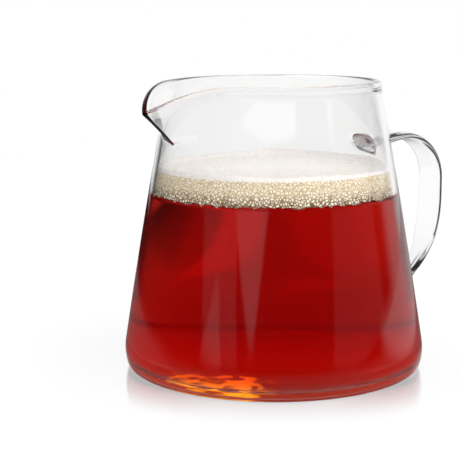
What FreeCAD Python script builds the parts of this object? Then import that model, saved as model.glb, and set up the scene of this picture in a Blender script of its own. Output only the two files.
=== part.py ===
"""A blown glass jug with a pulled pouring lip and a glass strap handle, filled with a drink.

The jug is one piece of glass: a wide flat base, a wall that leans in to a narrower mouth,
a sharp V lip pulled out of the rim, and a ribbon of glass fused to the wall opposite the
lip. Two more solids stand for what it holds: the drink,
which fills the bore to a level, and the layer of foam that floats on it.

Frame: millimetres, +Z up, origin at the centre of the base on the axis of the body, with
the standing surface at z = 0. The lip points along -X and the handle along +X.
"""

import FreeCAD, Part
import math
import os

import Sketcher

Vector = FreeCAD.Vector

# Driving dimensions: alias, value in millimetres or degrees, what it measures
DIMENSIONS = (
    ("total_height", 124.0, "standing surface to the level part of the rim"),
    ("foot_height", 12.0, "height where the leaning wall meets the rounded foot"),
    ("foot_radius", 64.8, "outside of the wall at that height"),
    ("rim_radius", 45.3, "outside of the wall at the rim"),
    ("foot_inset", 4.3, "foot radius in to the outer edge of the standing ring"),
    ("corner_radius", 4.0, "rounding where the standing ring turns upward"),
    ("ring_width", 8.5, "width of the ring that the jug stands on"),
    ("punt_depth", 0.8, "how far the middle of the base stands clear of the table"),
    ("wall_thickness", 2.4, "glass of the wall and of the lip, measured level"),
    ("floor_thickness", 3.2, "standing surface to the inside of the floor"),
    ("keel_rise", 13.5, "from where the keel of the lip leaves the wall up to its tip"),
    ("keel_bury", 0.1, "how deep inside the wall the keel starts"),
    ("lip_reach", 18.3, "rim out to the tip of the lip"),
    ("lip_drop", 11.0, "rim down to the tip of the lip"),
    ("dip_lead", 9.3, "rim in to where it begins to dip toward the lip"),
    ("lip_seat", 0.3, "how deep the round back of the lip lies inside the wall"),
    ("nose_radius", 3.0, "outside rounding of the keel, seen from above"),
    ("rim_round", 0.5, "fire-polished rounding of both edges of the rim"),
    ("heel_height", 24.5, "standing surface to the end of the strap's lower bend"),
    ("heel_run", 2.5, "straight end of the strap from that bend to the wall"),
    ("rise_radius", 45.0, "slow rise of the strap from the wall to the arch"),
    ("arch_radius", 20.0, "bend over the top of the handle"),
    ("grip_run", 7.0, "straight part of the strap below the arch"),
    ("grip_radius", 80.0, "slow bend of the strap behind the fingers"),
    ("grip_turn", 15.0, "angle of that bend in degrees"),
    ("tail_radius", 40.0, "bend of the strap back toward the wall"),
    ("tail_turn", 46.0, "angle of that bend in degrees"),
    ("root_width", 17.5, "width of the strap where it joins the wall above"),
    ("root_thickness", 6.0, "its thickness there"),
    ("strap_width", 15.5, "width of the strap over the arch and the grip"),
    ("strap_thickness", 3.4, "its thickness there"),
    ("tail_width", 5.4, "width of the drawn-out lower end"),
    ("tail_thickness", 3.6, "its thickness there"),
    ("heel_width", 9.0, "width of the lower end where it joins the wall"),
    ("heel_thickness", 5.6, "its thickness there"),
    ("root_bury", 4.0, "how far both ends run into the wall before the bore trims them"),
    ("root_fillet", 2.5, "glass drawn up around both ends of the handle"),
    ("fill_height", 76.7, "standing surface to the top of the drink"),
    ("foam_thickness", 10.8, "depth of the foam on the drink"),
)

# Sections of the lip stand closer together near the start of the keel, where it grows fastest
LIP_STEPS = 4
# The wall and the lip are built past the rim by the allowance, and the trim reaches the margin
TRIM_ALLOWANCE = 2.0
TRIM_MARGIN = 20.0
# The arch of the handle turns from level to straight down
ARCH_TURN = 90.0
# The trim follows the dip of the rim past the tip of the lip by this many degrees
DIP_OVERRUN = 6.0
# How far a point may lie off the rim or off the wall and still count as on it
RIM_TOLERANCE = 0.01
ROOT_TOLERANCE = 0.03

# How a sketch names the points of an edge, its axes and its origin
START, END, CENTRE = range(1, 4)
X_AXIS, Y_AXIS = -START, -END
ORIGIN_POINT = (X_AXIS, START)

# The leaning wall as expressions: a straight line from the foot point to the rim point
LEAN = "(dims.foot_radius - dims.rim_radius)"
RISE = "(dims.total_height - dims.foot_height)"

KEEL_HEIGHT = "(dims.total_height - dims.lip_drop - dims.keel_rise)"
CONTACT = "(dims.foot_radius - dims.foot_inset)"
RING_INSIDE = f"({CONTACT} - dims.ring_width)"
TIP_HEIGHT = "(dims.total_height - dims.lip_drop)"
TIP_REACH = "(dims.rim_radius + dims.lip_reach)"
DIP_START = "(dims.rim_radius - dims.dip_lead)"
DIP_SLOPE = "(dims.lip_drop / (dims.lip_reach + dims.dip_lead))"
BLANK_TOP = f"(dims.total_height + {TRIM_ALLOWANCE})"


def wall_radius_expression(height):
    """Outside radius of the wall at a height, as an expression of the sheet."""
    return f"(dims.rim_radius + {LEAN} * (dims.total_height - {height}) / {RISE})"


def make_sheet(doc):
    """Write the driving dimensions into a spreadsheet, each with its alias."""
    sheet = doc.addObject("Spreadsheet::Sheet", "dims")
    for row, (alias, value, note) in enumerate(DIMENSIONS, start=1):
        sheet.set(f"A{row}", alias)
        sheet.set(f"B{row}", str(value))
        sheet.set(f"C{row}", note)
        sheet.setAlias(f"B{row}", alias)
    doc.recompute()
    return sheet


class Wall:
    """The wall's outline worked out as numbers, to place sketch points near their goal."""

    def __init__(self, dims):
        self.dims = dims
        self.tip_reach = dims.rim_radius + dims.lip_reach
        self.tip_height = dims.total_height - dims.lip_drop
        self.keel_height = self.tip_height - dims.keel_rise
        self.dip_start = dims.rim_radius - dims.dip_lead
        self.lean = dims.foot_radius - dims.rim_radius
        self.rise = dims.total_height - dims.foot_height

    def outside(self, height):
        """Outside radius at a height."""
        return self.dims.rim_radius + self.lean * (self.dims.total_height - height) / self.rise

    def dip_radius(self):
        """Radius of the arc in which the rim dips from level to the tip of the lip."""
        span = self.tip_reach - self.dip_start
        return (span ** 2 + self.dims.lip_drop ** 2) / (2 * self.dims.lip_drop)

    def inward(self):
        """Unit vector square to the wall, toward the axis."""
        return Vector(-self.rise, -self.lean, 0).normalize()


def constrain(sketch, kind, *references, name=None, expression=None):
    """Add one constraint, and bind its value to an expression where one is given."""
    if expression is None:
        sketch.addConstraint(Sketcher.Constraint(kind, *references))
        return
    index = sketch.addConstraint(Sketcher.Constraint(kind, *references, measured(sketch, kind, references)))
    sketch.renameConstraint(index, name)
    sketch.setExpression(f"Constraints.{name}", expression)


def measured(sketch, kind, references):
    """Present value of a size, so that a new constraint moves nothing."""
    if kind == "Radius":
        return sketch.Geometry[references[0]].Radius
    if kind == "Angle":
        edge = sketch.Geometry[references[0]]
        return edge.LastParameter - edge.FirstParameter
    ends = [sketch.getPoint(geo, pos) for geo, pos in zip(references[0::2], references[1::2])]
    first, last = (Vector(0, 0, 0), ends[0]) if len(ends) == 1 else ends
    return last.x - first.x if kind == "DistanceX" else last.y - first.y


def place_point(sketch, geo, pos, name, x=None, z=None):
    """Tie a point of a sketch to a place given by expressions from the origin."""
    if x is not None:
        constrain(sketch, "DistanceX", *ORIGIN_POINT, geo, pos, name=f"{name}_x", expression=x)
    if z is not None:
        constrain(sketch, "DistanceY", *ORIGIN_POINT, geo, pos, name=f"{name}_z", expression=z)


def line(start, end):
    """Straight sketch edge."""
    return Part.LineSegment(Vector(start), Vector(end))


def arc(centre, start, end):
    """Sketch arc that runs counter-clockwise about its centre from start to end."""
    centre, start, end = Vector(centre), Vector(start), Vector(end)
    first = math.atan2(start.y - centre.y, start.x - centre.x)
    last = math.atan2(end.y - centre.y, end.x - centre.x)
    if last <= first:
        last += 2 * math.pi
    circle = Part.Circle(centre, Vector(0, 0, 1), (start - centre).Length)
    return Part.ArcOfCircle(circle, first, last)


def new_body(doc, name):
    """PartDesign body with a name."""
    return doc.addObject("PartDesign::Body", name)


def new_sketch(body, name, plane, height=None):
    """Sketch on one of the body's own origin planes, raised where a height is given."""
    sketch = body.newObject("Sketcher::SketchObject", name)
    origin_plane = next(item for item in body.Origin.OriginFeatures if item.Role == plane)
    sketch.AttachmentSupport = [(origin_plane, "")]
    sketch.MapMode = "FlatFace"
    if height is not None:
        sketch.setExpression("AttachmentOffset.Base.z", height)
    return sketch


def wall_edge(sketch, wall, inset, low, high):
    """Add the wall's line between two heights, aimed at the rim point of the sheet.

    The line is the outside of the wall moved toward the axis by inset, so the outside of
    the glass, its bore and whatever fills the bore all follow one outline.
    """
    dims = wall.dims
    start = (wall.outside(low) - inset, low, 0)
    end = (wall.outside(high) - inset, high, 0)
    geo = sketch.addGeometry(line(start, end), False)
    inset_text = " - dims.wall_thickness" if inset else ""
    rim = sketch.addGeometry(Part.Point(Vector(dims.rim_radius - inset, dims.total_height, 0)), True)
    place_point(sketch, rim, START, "rim", f"dims.rim_radius{inset_text}", "dims.total_height")
    constrain(sketch, "PointOnObject", rim, START, geo)
    return geo, inset_text


def bore_corner(wall, inset):
    """Centre and radius of the rounding between the floor and the inside of the wall."""
    dims = wall.dims
    inward = wall.inward()
    radius = (dims.foot_height - dims.floor_thickness) / (1 - inward.y)
    foot = Vector(dims.foot_radius - inset, dims.foot_height, 0)
    return foot, foot + inward * radius, radius


def bore_outline(body, wall, name, level, level_expression):
    """Half section of the bore from the floor up to a level, for the cut and for the drink."""
    dims = wall.dims
    inset = dims.wall_thickness
    sketch = new_sketch(body, name, "YZ_Plane")
    foot, centre, radius = bore_corner(wall, inset)
    floor_end = Vector(centre.x, dims.floor_thickness, 0)
    top_end = Vector(wall.outside(level) - inset, level, 0)
    floor = sketch.addGeometry(line((0, dims.floor_thickness, 0), floor_end), False)
    corner = sketch.addGeometry(arc(centre, floor_end, foot), False)
    side, inset_text = wall_edge(sketch, wall, inset, dims.foot_height, level)
    top = sketch.addGeometry(line(top_end, (0, level, 0)), False)
    axis = sketch.addGeometry(line((0, level, 0), (0, dims.floor_thickness, 0)), False)
    constrain(sketch, "Tangent", floor, END, corner, START)
    constrain(sketch, "Tangent", corner, END, side, START)
    constrain(sketch, "Coincident", side, END, top, START)
    constrain(sketch, "Coincident", top, END, axis, START)
    constrain(sketch, "Coincident", axis, END, floor, START)
    constrain(sketch, "Horizontal", floor)
    constrain(sketch, "Horizontal", top)
    constrain(sketch, "PointOnObject", axis, START, Y_AXIS)
    constrain(sketch, "PointOnObject", axis, END, Y_AXIS)
    place_point(sketch, floor, START, "floor", z="dims.floor_thickness")
    place_point(sketch, side, START, "foot", f"dims.foot_radius{inset_text}", "dims.foot_height")
    place_point(sketch, axis, START, "level", z=level_expression)
    return sketch


def outer_outline(body, wall):
    """Half section of the solid foot and wall, from the base up to above the rim."""
    dims = wall.dims
    sketch = new_sketch(body, "outer_outline", "YZ_Plane")
    blank_top = dims.total_height + TRIM_ALLOWANCE
    foot = Vector(dims.foot_radius, dims.foot_height, 0)
    inward = wall.inward()
    contact = dims.foot_radius - dims.foot_inset
    ring_inside = contact - dims.ring_width
    corner_centre = Vector(contact, dims.corner_radius, 0)
    gap = foot - corner_centre
    reach = (gap.Length ** 2 - dims.corner_radius ** 2) / (-2 * gap.dot(inward) - 2 * dims.corner_radius)
    flank_centre = foot + inward * reach
    meeting = corner_centre + (corner_centre - flank_centre).normalize() * dims.corner_radius
    punt_middle = Vector(0, dims.punt_depth, 0)
    punt_in = Vector(ring_inside - dims.punt_depth, dims.punt_depth, 0)
    ring_in = Vector(ring_inside, 0, 0)
    ring_out = Vector(contact, 0, 0)
    top_end = Vector(wall.outside(blank_top), blank_top, 0)

    punt = sketch.addGeometry(line(punt_middle, punt_in), False)
    step = sketch.addGeometry(line(punt_in, ring_in), False)
    ring = sketch.addGeometry(line(ring_in, ring_out), False)
    corner = sketch.addGeometry(arc(corner_centre, ring_out, meeting), False)
    flank = sketch.addGeometry(arc(flank_centre, meeting, foot), False)
    side, _ = wall_edge(sketch, wall, 0, dims.foot_height, blank_top)
    top = sketch.addGeometry(line(top_end, (0, blank_top, 0)), False)
    axis = sketch.addGeometry(line((0, blank_top, 0), punt_middle), False)
    constrain(sketch, "Coincident", punt, END, step, START)
    constrain(sketch, "Coincident", step, END, ring, START)
    constrain(sketch, "Horizontal", punt)
    constrain(sketch, "Tangent", ring, END, corner, START)
    constrain(sketch, "Tangent", corner, END, flank, START)
    constrain(sketch, "Tangent", flank, END, side, START)
    constrain(sketch, "Coincident", side, END, top, START)
    constrain(sketch, "Coincident", top, END, axis, START)
    constrain(sketch, "Coincident", axis, END, punt, START)
    constrain(sketch, "Horizontal", top)
    constrain(sketch, "PointOnObject", axis, START, Y_AXIS)
    constrain(sketch, "PointOnObject", axis, END, Y_AXIS)
    constrain(sketch, "PointOnObject", ring, START, X_AXIS)
    constrain(sketch, "Horizontal", ring)
    constrain(sketch, "Radius", corner, name="corner", expression="dims.corner_radius")
    place_point(sketch, ring, START, "punt", x=RING_INSIDE)
    place_point(sketch, punt, END, "step", x=f"{RING_INSIDE} - dims.punt_depth")
    place_point(sketch, ring, END, "contact", x=CONTACT)
    place_point(sketch, axis, END, "middle", z="dims.punt_depth")
    place_point(sketch, side, START, "foot", "dims.foot_radius", "dims.foot_height")
    place_point(sketch, axis, START, "top", z=BLANK_TOP)
    return sketch


def lip_section(body, wall, name, step, inset):
    """Level section of the lip: two straight flanks from a round back to a small V nose.

    The back is the wall's own circle less lip_seat, so it lies inside the wall and the
    flanks leave the wall at a slight angle. The section of the lip's bore is the same
    outline moved in by the thickness of the glass.
    """
    dims = wall.dims
    share = (step / LIP_STEPS) ** 2
    keel = wall.keel_height
    height = keel + share * (dims.total_height + TRIM_ALLOWANCE - keel)
    start_reach = wall.outside(keel) - dims.keel_bury
    slope = (wall.tip_reach - start_reach) / dims.keel_rise
    nose_x = start_reach + slope * (height - keel) - dims.nose_radius
    round_radius = wall.outside(height) - dims.lip_seat - inset
    nose_radius = dims.nose_radius - inset
    turn = math.acos((round_radius - nose_radius) / nose_x)

    level = f"({KEEL_HEIGHT} + {share} * ({BLANK_TOP} - {KEEL_HEIGHT}))"
    begin = f"({wall_radius_expression(KEEL_HEIGHT)} - dims.keel_bury)"
    climb = f"(({TIP_REACH} - {begin}) / dims.keel_rise)"
    nose = f"({begin} + {climb} * ({level} - {KEEL_HEIGHT}) - dims.nose_radius)"
    inset_text = " - dims.wall_thickness" if inset else ""

    sketch = new_sketch(body, name, "XY_Plane", level)
    round_left = Vector(-round_radius * math.cos(turn), -round_radius * math.sin(turn), 0)
    nose_centre = Vector(-nose_x, 0, 0)
    nose_left = nose_centre + round_left * (nose_radius / round_radius)
    round_right = Vector(round_left.x, -round_left.y, 0)
    nose_right = Vector(nose_left.x, -nose_left.y, 0)
    barrel = sketch.addGeometry(arc((0, 0, 0), round_left, round_right), False)
    right = sketch.addGeometry(line(round_right, nose_right), False)
    tip = sketch.addGeometry(arc(nose_centre, nose_right, nose_left), False)
    left = sketch.addGeometry(line(nose_left, round_left), False)
    constrain(sketch, "Tangent", barrel, END, right, START)
    constrain(sketch, "Tangent", right, END, tip, START)
    constrain(sketch, "Tangent", tip, END, left, START)
    constrain(sketch, "Tangent", left, END, barrel, START)
    constrain(sketch, "Coincident", barrel, CENTRE, *ORIGIN_POINT)
    constrain(sketch, "PointOnObject", tip, CENTRE, X_AXIS)
    constrain(sketch, "DistanceX", tip, CENTRE, *ORIGIN_POINT, name="nose", expression=nose)
    constrain(sketch, "Radius", barrel, name="barrel",
              expression=f"{wall_radius_expression(level)} - dims.lip_seat{inset_text}")
    constrain(sketch, "Radius", tip, name="tip", expression=f"dims.nose_radius{inset_text}")
    return sketch


def loft(body, name, kind, sections):
    """Smooth loft through the sections, added to the body or taken from it."""
    feature = body.newObject(kind, name)
    feature.Profile = sections[0]
    feature.Sections = sections[1:]
    feature.Ruled = False
    return feature


def turned(body, name, kind, sketch):
    """Full turn of a half section about the vertical axis."""
    feature = body.newObject(kind, name)
    feature.Profile = sketch
    feature.ReferenceAxis = (sketch, ["V_Axis"])
    feature.Angle = 360.0
    return feature


def lip_sections(body, wall, prefix, inset):
    """All level sections of the lip, from the start of the keel to above the rim."""
    return [
        lip_section(body, wall, f"{prefix}_section_{step}", step, inset)
        for step in range(LIP_STEPS + 1)
    ]


class Station:
    """A place on the strap's middle line: position in the XZ plane and heading in degrees."""

    def __init__(self, x, z, heading):
        self.x = x
        self.z = z
        self.heading = heading

    def direction(self):
        """Unit vector along the strap."""
        angle = math.radians(self.heading)
        return Vector(math.cos(angle), 0, math.sin(angle))

    def ahead(self, length):
        """Station further along a straight run."""
        step = self.direction() * length
        return Station(self.x + step.x, self.z + step.z, self.heading)

    def bent(self, radius, turn):
        """Station at the end of a bend: clockwise ahead, or back along one if negative."""
        turn = math.copysign(turn, radius)
        before = math.radians(self.heading)
        after = math.radians(self.heading - turn)
        x = self.x + abs(radius) * (math.sin(before) - math.sin(after))
        z = self.z + abs(radius) * (math.cos(after) - math.cos(before))
        return Station(x, z, self.heading - turn)

    def placement(self):
        """Placement of a section square to the strap, its width along Y."""
        along = self.direction()
        across = Vector(0, 1, 0)
        turn = FreeCAD.Rotation(across, along.cross(across), along, "ZXY")
        return FreeCAD.Placement(Vector(self.x, 0, self.z), turn)


def lower_strap(dims, arch_start):
    """Stations of the strap from the start of its arch to the end of its lower bend."""
    third = ARCH_TURN / 3
    arch_end = arch_start.bent(dims.arch_radius, ARCH_TURN)
    grip_start = arch_end.ahead(dims.grip_run)
    grip_end = grip_start.bent(dims.grip_radius, dims.grip_turn)
    return (
        arch_start,
        arch_start.bent(dims.arch_radius, third),
        arch_start.bent(dims.arch_radius, 2 * third),
        arch_end,
        grip_start,
        grip_start.bent(dims.grip_radius, dims.grip_turn / 2),
        grip_end,
        grip_end.bent(dims.tail_radius, dims.tail_turn / 3),
        grip_end.bent(dims.tail_radius, dims.tail_turn * 2 / 3),
        grip_end.bent(dims.tail_radius, dims.tail_turn),
    )


def strap_stations(wall):
    """Middle line of the handle from inside the upper wall to inside the lower wall.

    The end of the lower bend has a height of its own and stands a straight run off the
    wall. The rest of the strap is built up from there, and the rise closes it to the wall.
    """
    dims = wall.dims
    tail_end = lower_strap(dims, Station(0, 0, 0))[-1]
    heel = tail_end.direction() * dims.heel_run
    heel_x = wall.outside(dims.heel_height + heel.z) - heel.x
    arch_start = Station(heel_x - tail_end.x, dims.heel_height - tail_end.z, 0)
    root_x = wall.outside(arch_start.z) - dims.root_bury
    rise = math.degrees(math.asin((arch_start.x - root_x) / dims.rise_radius))
    root = arch_start.bent(-dims.rise_radius, rise)
    shoulder = arch_start.bent(-dims.rise_radius, rise / 2)
    lower = lower_strap(dims, arch_start)
    return (root, shoulder, *lower, lower[-1].ahead(dims.heel_run + dims.root_bury))


def mix(dims, first, last, share):
    """Size part of the way between two of the sheet, as a number and as an expression."""
    value = getattr(dims, first) * (1 - share) + getattr(dims, last) * share
    return value, f"(dims.{first} * {1 - share:.3f} + dims.{last} * {share:.3f})"


def strap_sizes(dims):
    """Width and thickness of the strap at each station, with their expressions."""
    shares = (
        ("root", "strap", 0.0),
        ("root", "strap", 0.6),
        ("root", "strap", 1.0),
        ("strap", "tail", 0.0),
        ("strap", "tail", 0.0),
        ("strap", "tail", 0.0),
        ("strap", "tail", 0.0),
        ("strap", "tail", 0.1),
        ("strap", "tail", 0.55),
        ("tail", "heel", 0.0),
        ("tail", "heel", 0.1),
        ("tail", "heel", 0.6),
        ("tail", "heel", 1.0),
    )
    return [
        (mix(dims, f"{first}_width", f"{last}_width", share),
         mix(dims, f"{first}_thickness", f"{last}_thickness", share))
        for first, last, share in shares
    ]


def strap_section(body, name, station, width, thickness):
    """Section of the strap: flat faces with fully rounded edges."""
    sketch = new_sketch(body, name, "XY_Plane")
    sketch.AttachmentOffset = station.placement()
    (width, width_text), (thickness, thickness_text) = width, thickness
    edge = thickness / 2
    half = (width - thickness) / 2
    corners = [Vector(x, y, 0) for x, y in ((-half, -edge), (half, -edge), (half, edge), (-half, edge))]
    under = sketch.addGeometry(line(corners[0], corners[1]), False)
    right = sketch.addGeometry(arc((half, 0, 0), corners[1], corners[2]), False)
    upper = sketch.addGeometry(line(corners[2], corners[3]), False)
    left = sketch.addGeometry(arc((-half, 0, 0), corners[3], corners[0]), False)
    constrain(sketch, "Tangent", under, END, right, START)
    constrain(sketch, "Tangent", right, END, upper, START)
    constrain(sketch, "Tangent", upper, END, left, START)
    constrain(sketch, "Tangent", left, END, under, START)
    constrain(sketch, "Horizontal", under)
    constrain(sketch, "PointOnObject", right, CENTRE, X_AXIS)
    constrain(sketch, "Symmetric", right, CENTRE, left, CENTRE, *ORIGIN_POINT)
    constrain(sketch, "Radius", right, name="edge", expression=f"{thickness_text} / 2")
    constrain(sketch, "DistanceX", *ORIGIN_POINT, right, CENTRE, name="half",
              expression=f"({width_text} - {thickness_text}) / 2")
    return sketch


def root_edges(shape, wall):
    """Names of the edges where the strap meets the outside of the wall."""
    dims = wall.dims

    def at_root(point):
        off_wall = math.hypot(point.x, point.y) - wall.outside(point.z)
        return point.x > 0 and abs(point.y) < dims.root_width and abs(off_wall) < ROOT_TOLERANCE

    return [
        f"Edge{number}"
        for number, edge in enumerate(shape.Edges, start=1)
        if len(edge.Vertexes) == 2 and all(at_root(point) for point in edge.discretize(5))
    ]


def rim_cut(body, wall):
    """Side view of what is trimmed off above the rim: level, then dipping to the lip."""
    dims = wall.dims
    sketch = new_sketch(body, "rim_outline", "XZ_Plane")
    height = dims.total_height
    dip_radius = wall.dip_radius()
    centre = Vector(-wall.dip_start, height - dip_radius, 0)
    turn = 2 * math.atan2(dims.lip_drop, wall.tip_reach - wall.dip_start) + math.radians(DIP_OVERRUN)
    low_z = centre.y + dip_radius * math.cos(turn)
    right_x = dims.rim_radius + TRIM_MARGIN
    left_x = wall.tip_reach + TRIM_MARGIN
    top_z = height + TRIM_MARGIN
    dip_start = Vector(-wall.dip_start, height, 0)
    dip_end = Vector(-wall.dip_start - dip_radius * math.sin(turn), low_z, 0)
    dip = sketch.addGeometry(arc(centre, dip_start, dip_end), False)
    level = sketch.addGeometry(line(dip_start, (right_x, height, 0)), False)
    right = sketch.addGeometry(line((right_x, height, 0), (right_x, top_z, 0)), False)
    top = sketch.addGeometry(line((right_x, top_z, 0), (-left_x, top_z, 0)), False)
    left = sketch.addGeometry(line((-left_x, top_z, 0), (-left_x, low_z, 0)), False)
    under = sketch.addGeometry(line((-left_x, low_z, 0), dip_end), False)
    tip = sketch.addGeometry(Part.Point(Vector(-wall.tip_reach, wall.tip_height, 0)), True)
    constrain(sketch, "Tangent", dip, START, level, START)
    for edge, following in ((level, right), (right, top), (top, left), (left, under)):
        constrain(sketch, "Coincident", edge, END, following, START)
    constrain(sketch, "Coincident", under, END, dip, END)
    for edge in (level, top, under):
        constrain(sketch, "Horizontal", edge)
    for edge in (right, left):
        constrain(sketch, "Vertical", edge)
    place_point(sketch, level, START, "dip", f"-{DIP_START}", "dims.total_height")
    place_point(sketch, tip, START, "tip", f"-{TIP_REACH}", TIP_HEIGHT)
    constrain(sketch, "PointOnObject", tip, START, dip)
    constrain(sketch, "Angle", dip, name="turn", expression=f"2 * atan({DIP_SLOPE}) + {DIP_OVERRUN} deg")
    place_point(sketch, right, END, "corner", f"dims.rim_radius + {TRIM_MARGIN}",
                f"dims.total_height + {TRIM_MARGIN}")
    place_point(sketch, left, START, "far", x=f"-({TIP_REACH} + {TRIM_MARGIN})")
    pocket = body.newObject("PartDesign::Pocket", "rim_trim")
    pocket.Profile = sketch
    pocket.Type = "ThroughAll"
    pocket.SideType = "Symmetric"
    return pocket


def rim_edges(shape, wall):
    """Names of the edges along the cut rim, outside and inside.

    The trim leaves faces that lie wholly on the rim. An edge that only one of them has
    runs along the glass, and an edge that two of them share runs across it.
    """
    dip_radius = wall.dip_radius()

    def on_rim(point):
        beyond = max(0.0, -point.x - wall.dip_start)
        height = wall.dims.total_height - dip_radius + math.sqrt(max(0.0, dip_radius ** 2 - beyond ** 2))
        return abs(point.z - height) < RIM_TOLERANCE

    rim_faces = [face for face in shape.Faces if all(on_rim(corner.Point) for corner in face.Vertexes)]
    names = []
    for number, edge in enumerate(shape.Edges, start=1):
        owners = sum(any(edge.isSame(other) for other in face.Edges) for face in rim_faces)
        if owners == 1:
            names.append(f"Edge{number}")
    return names


def glass_jug(doc, wall):
    """The jug itself: foot, wall, lip and handle as one piece of glass."""
    dims = wall.dims
    body = new_body(doc, "glass_jug")
    turned(body, "foot_and_wall", "PartDesign::Revolution", outer_outline(body, wall))
    loft(body, "lip", "PartDesign::AdditiveLoft", lip_sections(body, wall, "lip", 0))
    sections = [
        strap_section(body, f"strap_section_{index}", station, *sizes)
        for index, (station, sizes) in enumerate(zip(strap_stations(wall), strap_sizes(dims)))
    ]
    strap = loft(body, "handle", "PartDesign::AdditiveLoft", sections)
    doc.recompute()
    roots = body.newObject("PartDesign::Fillet", "handle_roots")
    roots.Base = (strap, root_edges(strap.Shape, wall))
    roots.setExpression("Radius", "dims.root_fillet")
    bore = bore_outline(body, wall, "bore_outline", dims.total_height + TRIM_ALLOWANCE, BLANK_TOP)
    turned(body, "bore", "PartDesign::Groove", bore)
    channel = lip_sections(body, wall, "channel", dims.wall_thickness)
    loft(body, "lip_channel", "PartDesign::SubtractiveLoft", channel)
    pocket = rim_cut(body, wall)
    doc.recompute()
    polish = body.newObject("PartDesign::Fillet", "rim_polish")
    polish.Base = (pocket, rim_edges(pocket.Shape, wall))
    polish.setExpression("Radius", "dims.rim_round")
    return body


def drink(doc, wall):
    """The drink that fills the bore up to its level."""
    body = new_body(doc, "coffee")
    outline = bore_outline(body, wall, "drink_outline", wall.dims.fill_height, "dims.fill_height")
    turned(body, "filling", "PartDesign::Revolution", outline)
    return body


def foam(doc, wall):
    """The layer of foam that floats on the drink and meets the wall all round."""
    dims = wall.dims
    body = new_body(doc, "foam")
    sketch = new_sketch(body, "foam_outline", "YZ_Plane")
    inset = dims.wall_thickness
    low = dims.fill_height
    high = low + dims.foam_thickness
    side, inset_text = wall_edge(sketch, wall, inset, low, high)
    low_end = Vector(wall.outside(low) - inset, low, 0)
    high_end = Vector(wall.outside(high) - inset, high, 0)
    foot = sketch.addGeometry(Part.Point(Vector(dims.foot_radius - inset, dims.foot_height, 0)), True)
    top = sketch.addGeometry(line(high_end, (0, high, 0)), False)
    axis = sketch.addGeometry(line((0, high, 0), (0, low, 0)), False)
    under = sketch.addGeometry(line((0, low, 0), low_end), False)
    place_point(sketch, foot, START, "foot", f"dims.foot_radius{inset_text}", "dims.foot_height")
    constrain(sketch, "PointOnObject", foot, START, side)
    constrain(sketch, "Coincident", side, END, top, START)
    constrain(sketch, "Coincident", top, END, axis, START)
    constrain(sketch, "Coincident", axis, END, under, START)
    constrain(sketch, "Coincident", under, END, side, START)
    constrain(sketch, "Horizontal", top)
    constrain(sketch, "Horizontal", under)
    constrain(sketch, "PointOnObject", axis, START, Y_AXIS)
    constrain(sketch, "PointOnObject", axis, END, Y_AXIS)
    place_point(sketch, axis, START, "high", z="dims.fill_height + dims.foam_thickness")
    place_point(sketch, axis, END, "low", z="dims.fill_height")
    turned(body, "layer", "PartDesign::Revolution", sketch)
    return body


def check(doc, parts):
    """Stop if any feature failed or any part is not one valid solid."""
    for item in doc.Objects:
        if {"Invalid", "Error"} & set(item.State):
            raise RuntimeError(f"{item.Name} failed: {item.State}")
    for part in parts:
        shape = part.Shape
        if shape.isNull() or not shape.isValid() or len(shape.Solids) != 1:
            raise RuntimeError(f"{part.Label} is not one valid solid")
        box = shape.BoundBox
        print(f"{part.Label}: volume {shape.Volume:.0f} mm3, box {box.XMin:.1f} {box.YMin:.1f} "
              f"{box.ZMin:.1f} to {box.XMax:.1f} {box.YMax:.1f} {box.ZMax:.1f}")


def main():
    """Build the document, check it and write one file for each part."""
    doc = FreeCAD.newDocument("glass_server")
    sheet = make_sheet(doc)
    wall = Wall(sheet)
    parts = (glass_jug(doc, wall), drink(doc, wall), foam(doc, wall))
    doc.recompute()
    check(doc, parts)
    os.makedirs("parts", exist_ok=True)
    for part in parts:
        part.Shape.exportStep(f"parts/{part.Label}.step")


main()
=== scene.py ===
"""A blown glass coffee server, filled with a red-brown drink under a layer of foam.

The server is one piece of glass: a wide base, a wall that leans in to the mouth, a sharp
lip pulled out of the rim and a ribbon handle fused to the wall opposite the lip. It stands
on a white table in soft studio light.

Sizes are in millimetres until a mesh is made, and every mesh is in metres. The frame is
that of the solids: +Z up, origin at the centre of the base, lip along -X, handle along +X.
"""

import logging
import math
from dataclasses import astuple, dataclass
from enum import Enum
from functools import reduce
from typing import Sequence

import bpy
import numpy as np
from mathutils import Matrix, Vector, kdtree

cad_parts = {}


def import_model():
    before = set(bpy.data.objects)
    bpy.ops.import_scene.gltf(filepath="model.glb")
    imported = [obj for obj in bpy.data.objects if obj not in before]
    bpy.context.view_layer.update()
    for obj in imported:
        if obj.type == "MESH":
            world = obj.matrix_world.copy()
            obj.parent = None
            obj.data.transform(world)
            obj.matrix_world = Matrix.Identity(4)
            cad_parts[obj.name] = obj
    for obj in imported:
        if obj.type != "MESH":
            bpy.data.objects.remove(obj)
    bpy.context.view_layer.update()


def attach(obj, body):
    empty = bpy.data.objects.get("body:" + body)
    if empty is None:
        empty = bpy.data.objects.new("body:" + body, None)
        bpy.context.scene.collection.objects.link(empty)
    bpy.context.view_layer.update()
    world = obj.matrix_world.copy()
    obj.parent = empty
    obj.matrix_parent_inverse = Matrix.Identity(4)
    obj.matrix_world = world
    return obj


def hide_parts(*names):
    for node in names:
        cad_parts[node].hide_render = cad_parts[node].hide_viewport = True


LOG = logging.getLogger("coffee_server")
MM = 0.001
WHITE = (1.0, 1.0, 1.0)

# Too small to see: a length in millimetres, and a share that keeps a division from failing.
HAIR = 1e-6
TINY = 1e-9

# Bearing of the camera about the axis. It stands to the left of the front, toward the lip.
VIEW_AZIMUTH = math.radians(-33.0)

# Counts of bounces are whole, so these part none from one and one from two.
ONCE = 0.5
TWICE = 1.5

Colour = tuple[float, float, float]
Socket = bpy.types.NodeSocket


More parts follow.
